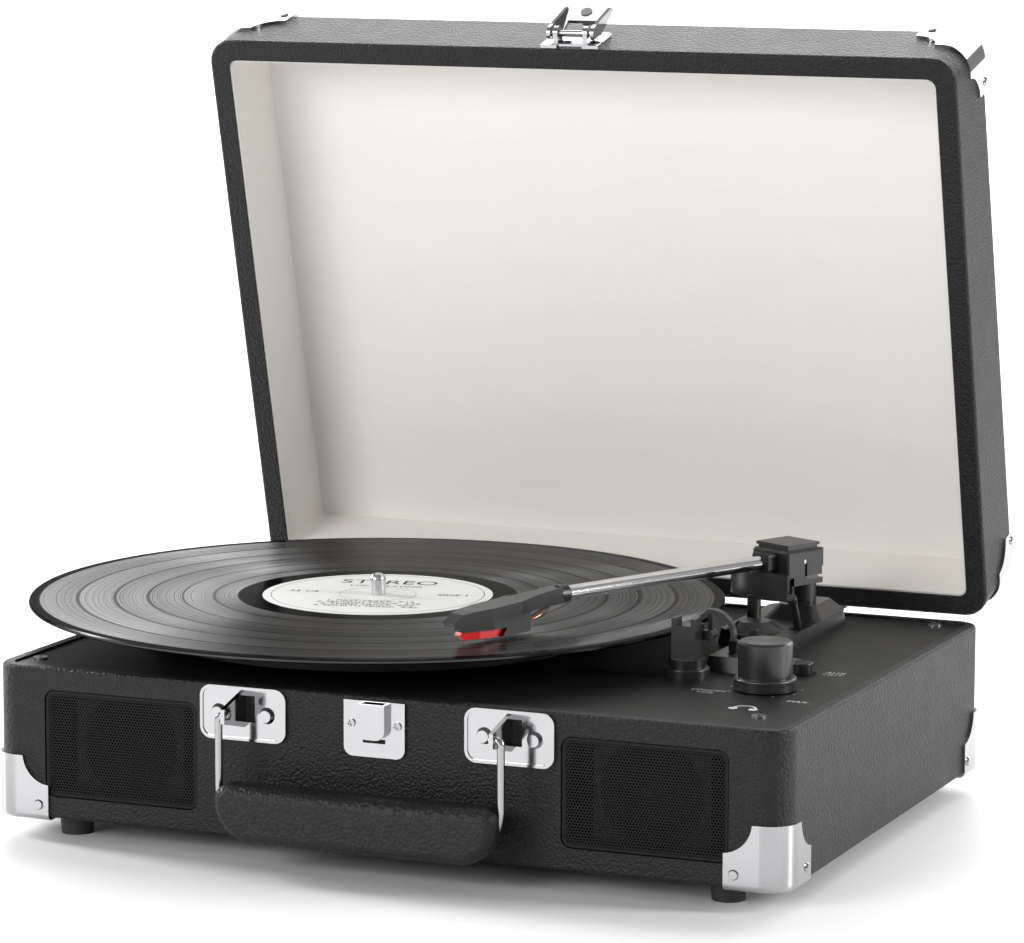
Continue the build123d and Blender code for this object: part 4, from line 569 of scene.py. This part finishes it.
FLOOR_SIDE = 6.0
FLOOR_BACK = 9.0
floor_points = (
    (-FLOOR_SIDE, -FLOOR_SIDE, FLOOR_Z),
    (FLOOR_SIDE, -FLOOR_SIDE, FLOOR_Z),
    (FLOOR_SIDE, FLOOR_BACK, FLOOR_Z),
    (-FLOOR_SIDE, FLOOR_BACK, FLOOR_Z),
)
floor_white = finish("floor_white", (0.93, 0.93, 0.93), 0.5, grain=30.0, bump=0.0, shade=0.004, spread=0.03)
piece("studio_floor", floor_points, [(0, 1, 2, 3)], floor_white, None)

SKY = (0.40, 0.30)  # brightness at the horizon and overhead
world = bpy.data.worlds.new("studio_world")
bpy.context.scene.world = world
world.use_nodes = True
background = world.node_tree.nodes["Background"]
background.inputs["Strength"].default_value = 1.0
sky = world.node_tree
direction = sky.nodes.new("ShaderNodeTexCoord")
parts = sky.nodes.new("ShaderNodeSeparateXYZ")
sky.links.new(direction.outputs["Generated"], parts.inputs["Vector"])
dome = sky.nodes.new("ShaderNodeValToRGB")
for stop, level in zip(dome.color_ramp.elements, SKY):
    stop.color = (level, level, level, 1)
sky.links.new(parts.outputs["Z"], dome.inputs["Fac"])
sky.links.new(dome.outputs["Color"], background.inputs["Color"])


def softbox(name, place, target, width, height, power):
    """A rectangular area light that faces a point."""
    data = bpy.data.lights.new(name, "AREA")
    data.shape = "RECTANGLE"
    data.size = width
    data.size_y = height
    data.energy = power
    lamp = bpy.data.objects.new(name, data)
    lamp.location = place
    lamp.rotation_euler = (Vector(target) - Vector(place)).to_track_quat("-Z", "Y").to_euler()
    bpy.context.scene.collection.objects.link(lamp)


softbox("key_top", (-0.2, 0.9, 1.7), (0, 0.05, 0.1), 1.4, 0.7, 12.0)
softbox("side_right", (1.5, 0.25, 0.6), (0.1, 0, 0.1), 0.3, 0.8, 20.0)
softbox("side_left", (-1.6, 0.15, 0.75), (-0.1, 0, 0.1), 0.3, 0.7, 26.0)
softbox("front_fill", (-1.0, -2.2, 0.95), (0, 0.1, 0.22), 1.3, 0.9, 30.0)
softbox("backdrop", (-1.2, 5.2, 2.4), (-1.2, 5.2, 0), 8.0, 5.0, 620.0)

# ---------------------------------------------------------------- camera

CAMERA_AT = (0.730512, -1.722288, 0.419200)
CAMERA_YAW = 0.39866
CAMERA_PITCH = -0.14914
CAMERA_ROLL = 0.00308
LENS = 155.62


def aim_camera():
    """Places the camera; it looks along (-sin yaw cos pitch, cos yaw cos pitch, sin pitch)."""
    forward = Vector(
        (
            -math.sin(CAMERA_YAW) * math.cos(CAMERA_PITCH),
            math.cos(CAMERA_YAW) * math.cos(CAMERA_PITCH),
            math.sin(CAMERA_PITCH),
        )
    )
    level = Vector((math.cos(CAMERA_YAW), math.sin(CAMERA_YAW), 0))
    upward = level.cross(forward)
    right = math.cos(CAMERA_ROLL) * level + math.sin(CAMERA_ROLL) * upward
    top = -math.sin(CAMERA_ROLL) * level + math.cos(CAMERA_ROLL) * upward
    data = bpy.data.cameras.new("camera")
    data.lens = LENS
    data.sensor_width = 36.0
    data.clip_start = 0.05
    data.clip_end = 60.0
    eye = bpy.data.objects.new("camera", data)
    bpy.context.scene.collection.objects.link(eye)
    turn = Matrix((right, top, -forward)).transposed().to_4x4()
    eye.matrix_world = Matrix.Translation(Vector(CAMERA_AT)) @ turn
    bpy.context.scene.camera = eye


aim_camera()
bpy.context.scene.view_settings.view_transform = "Standard"
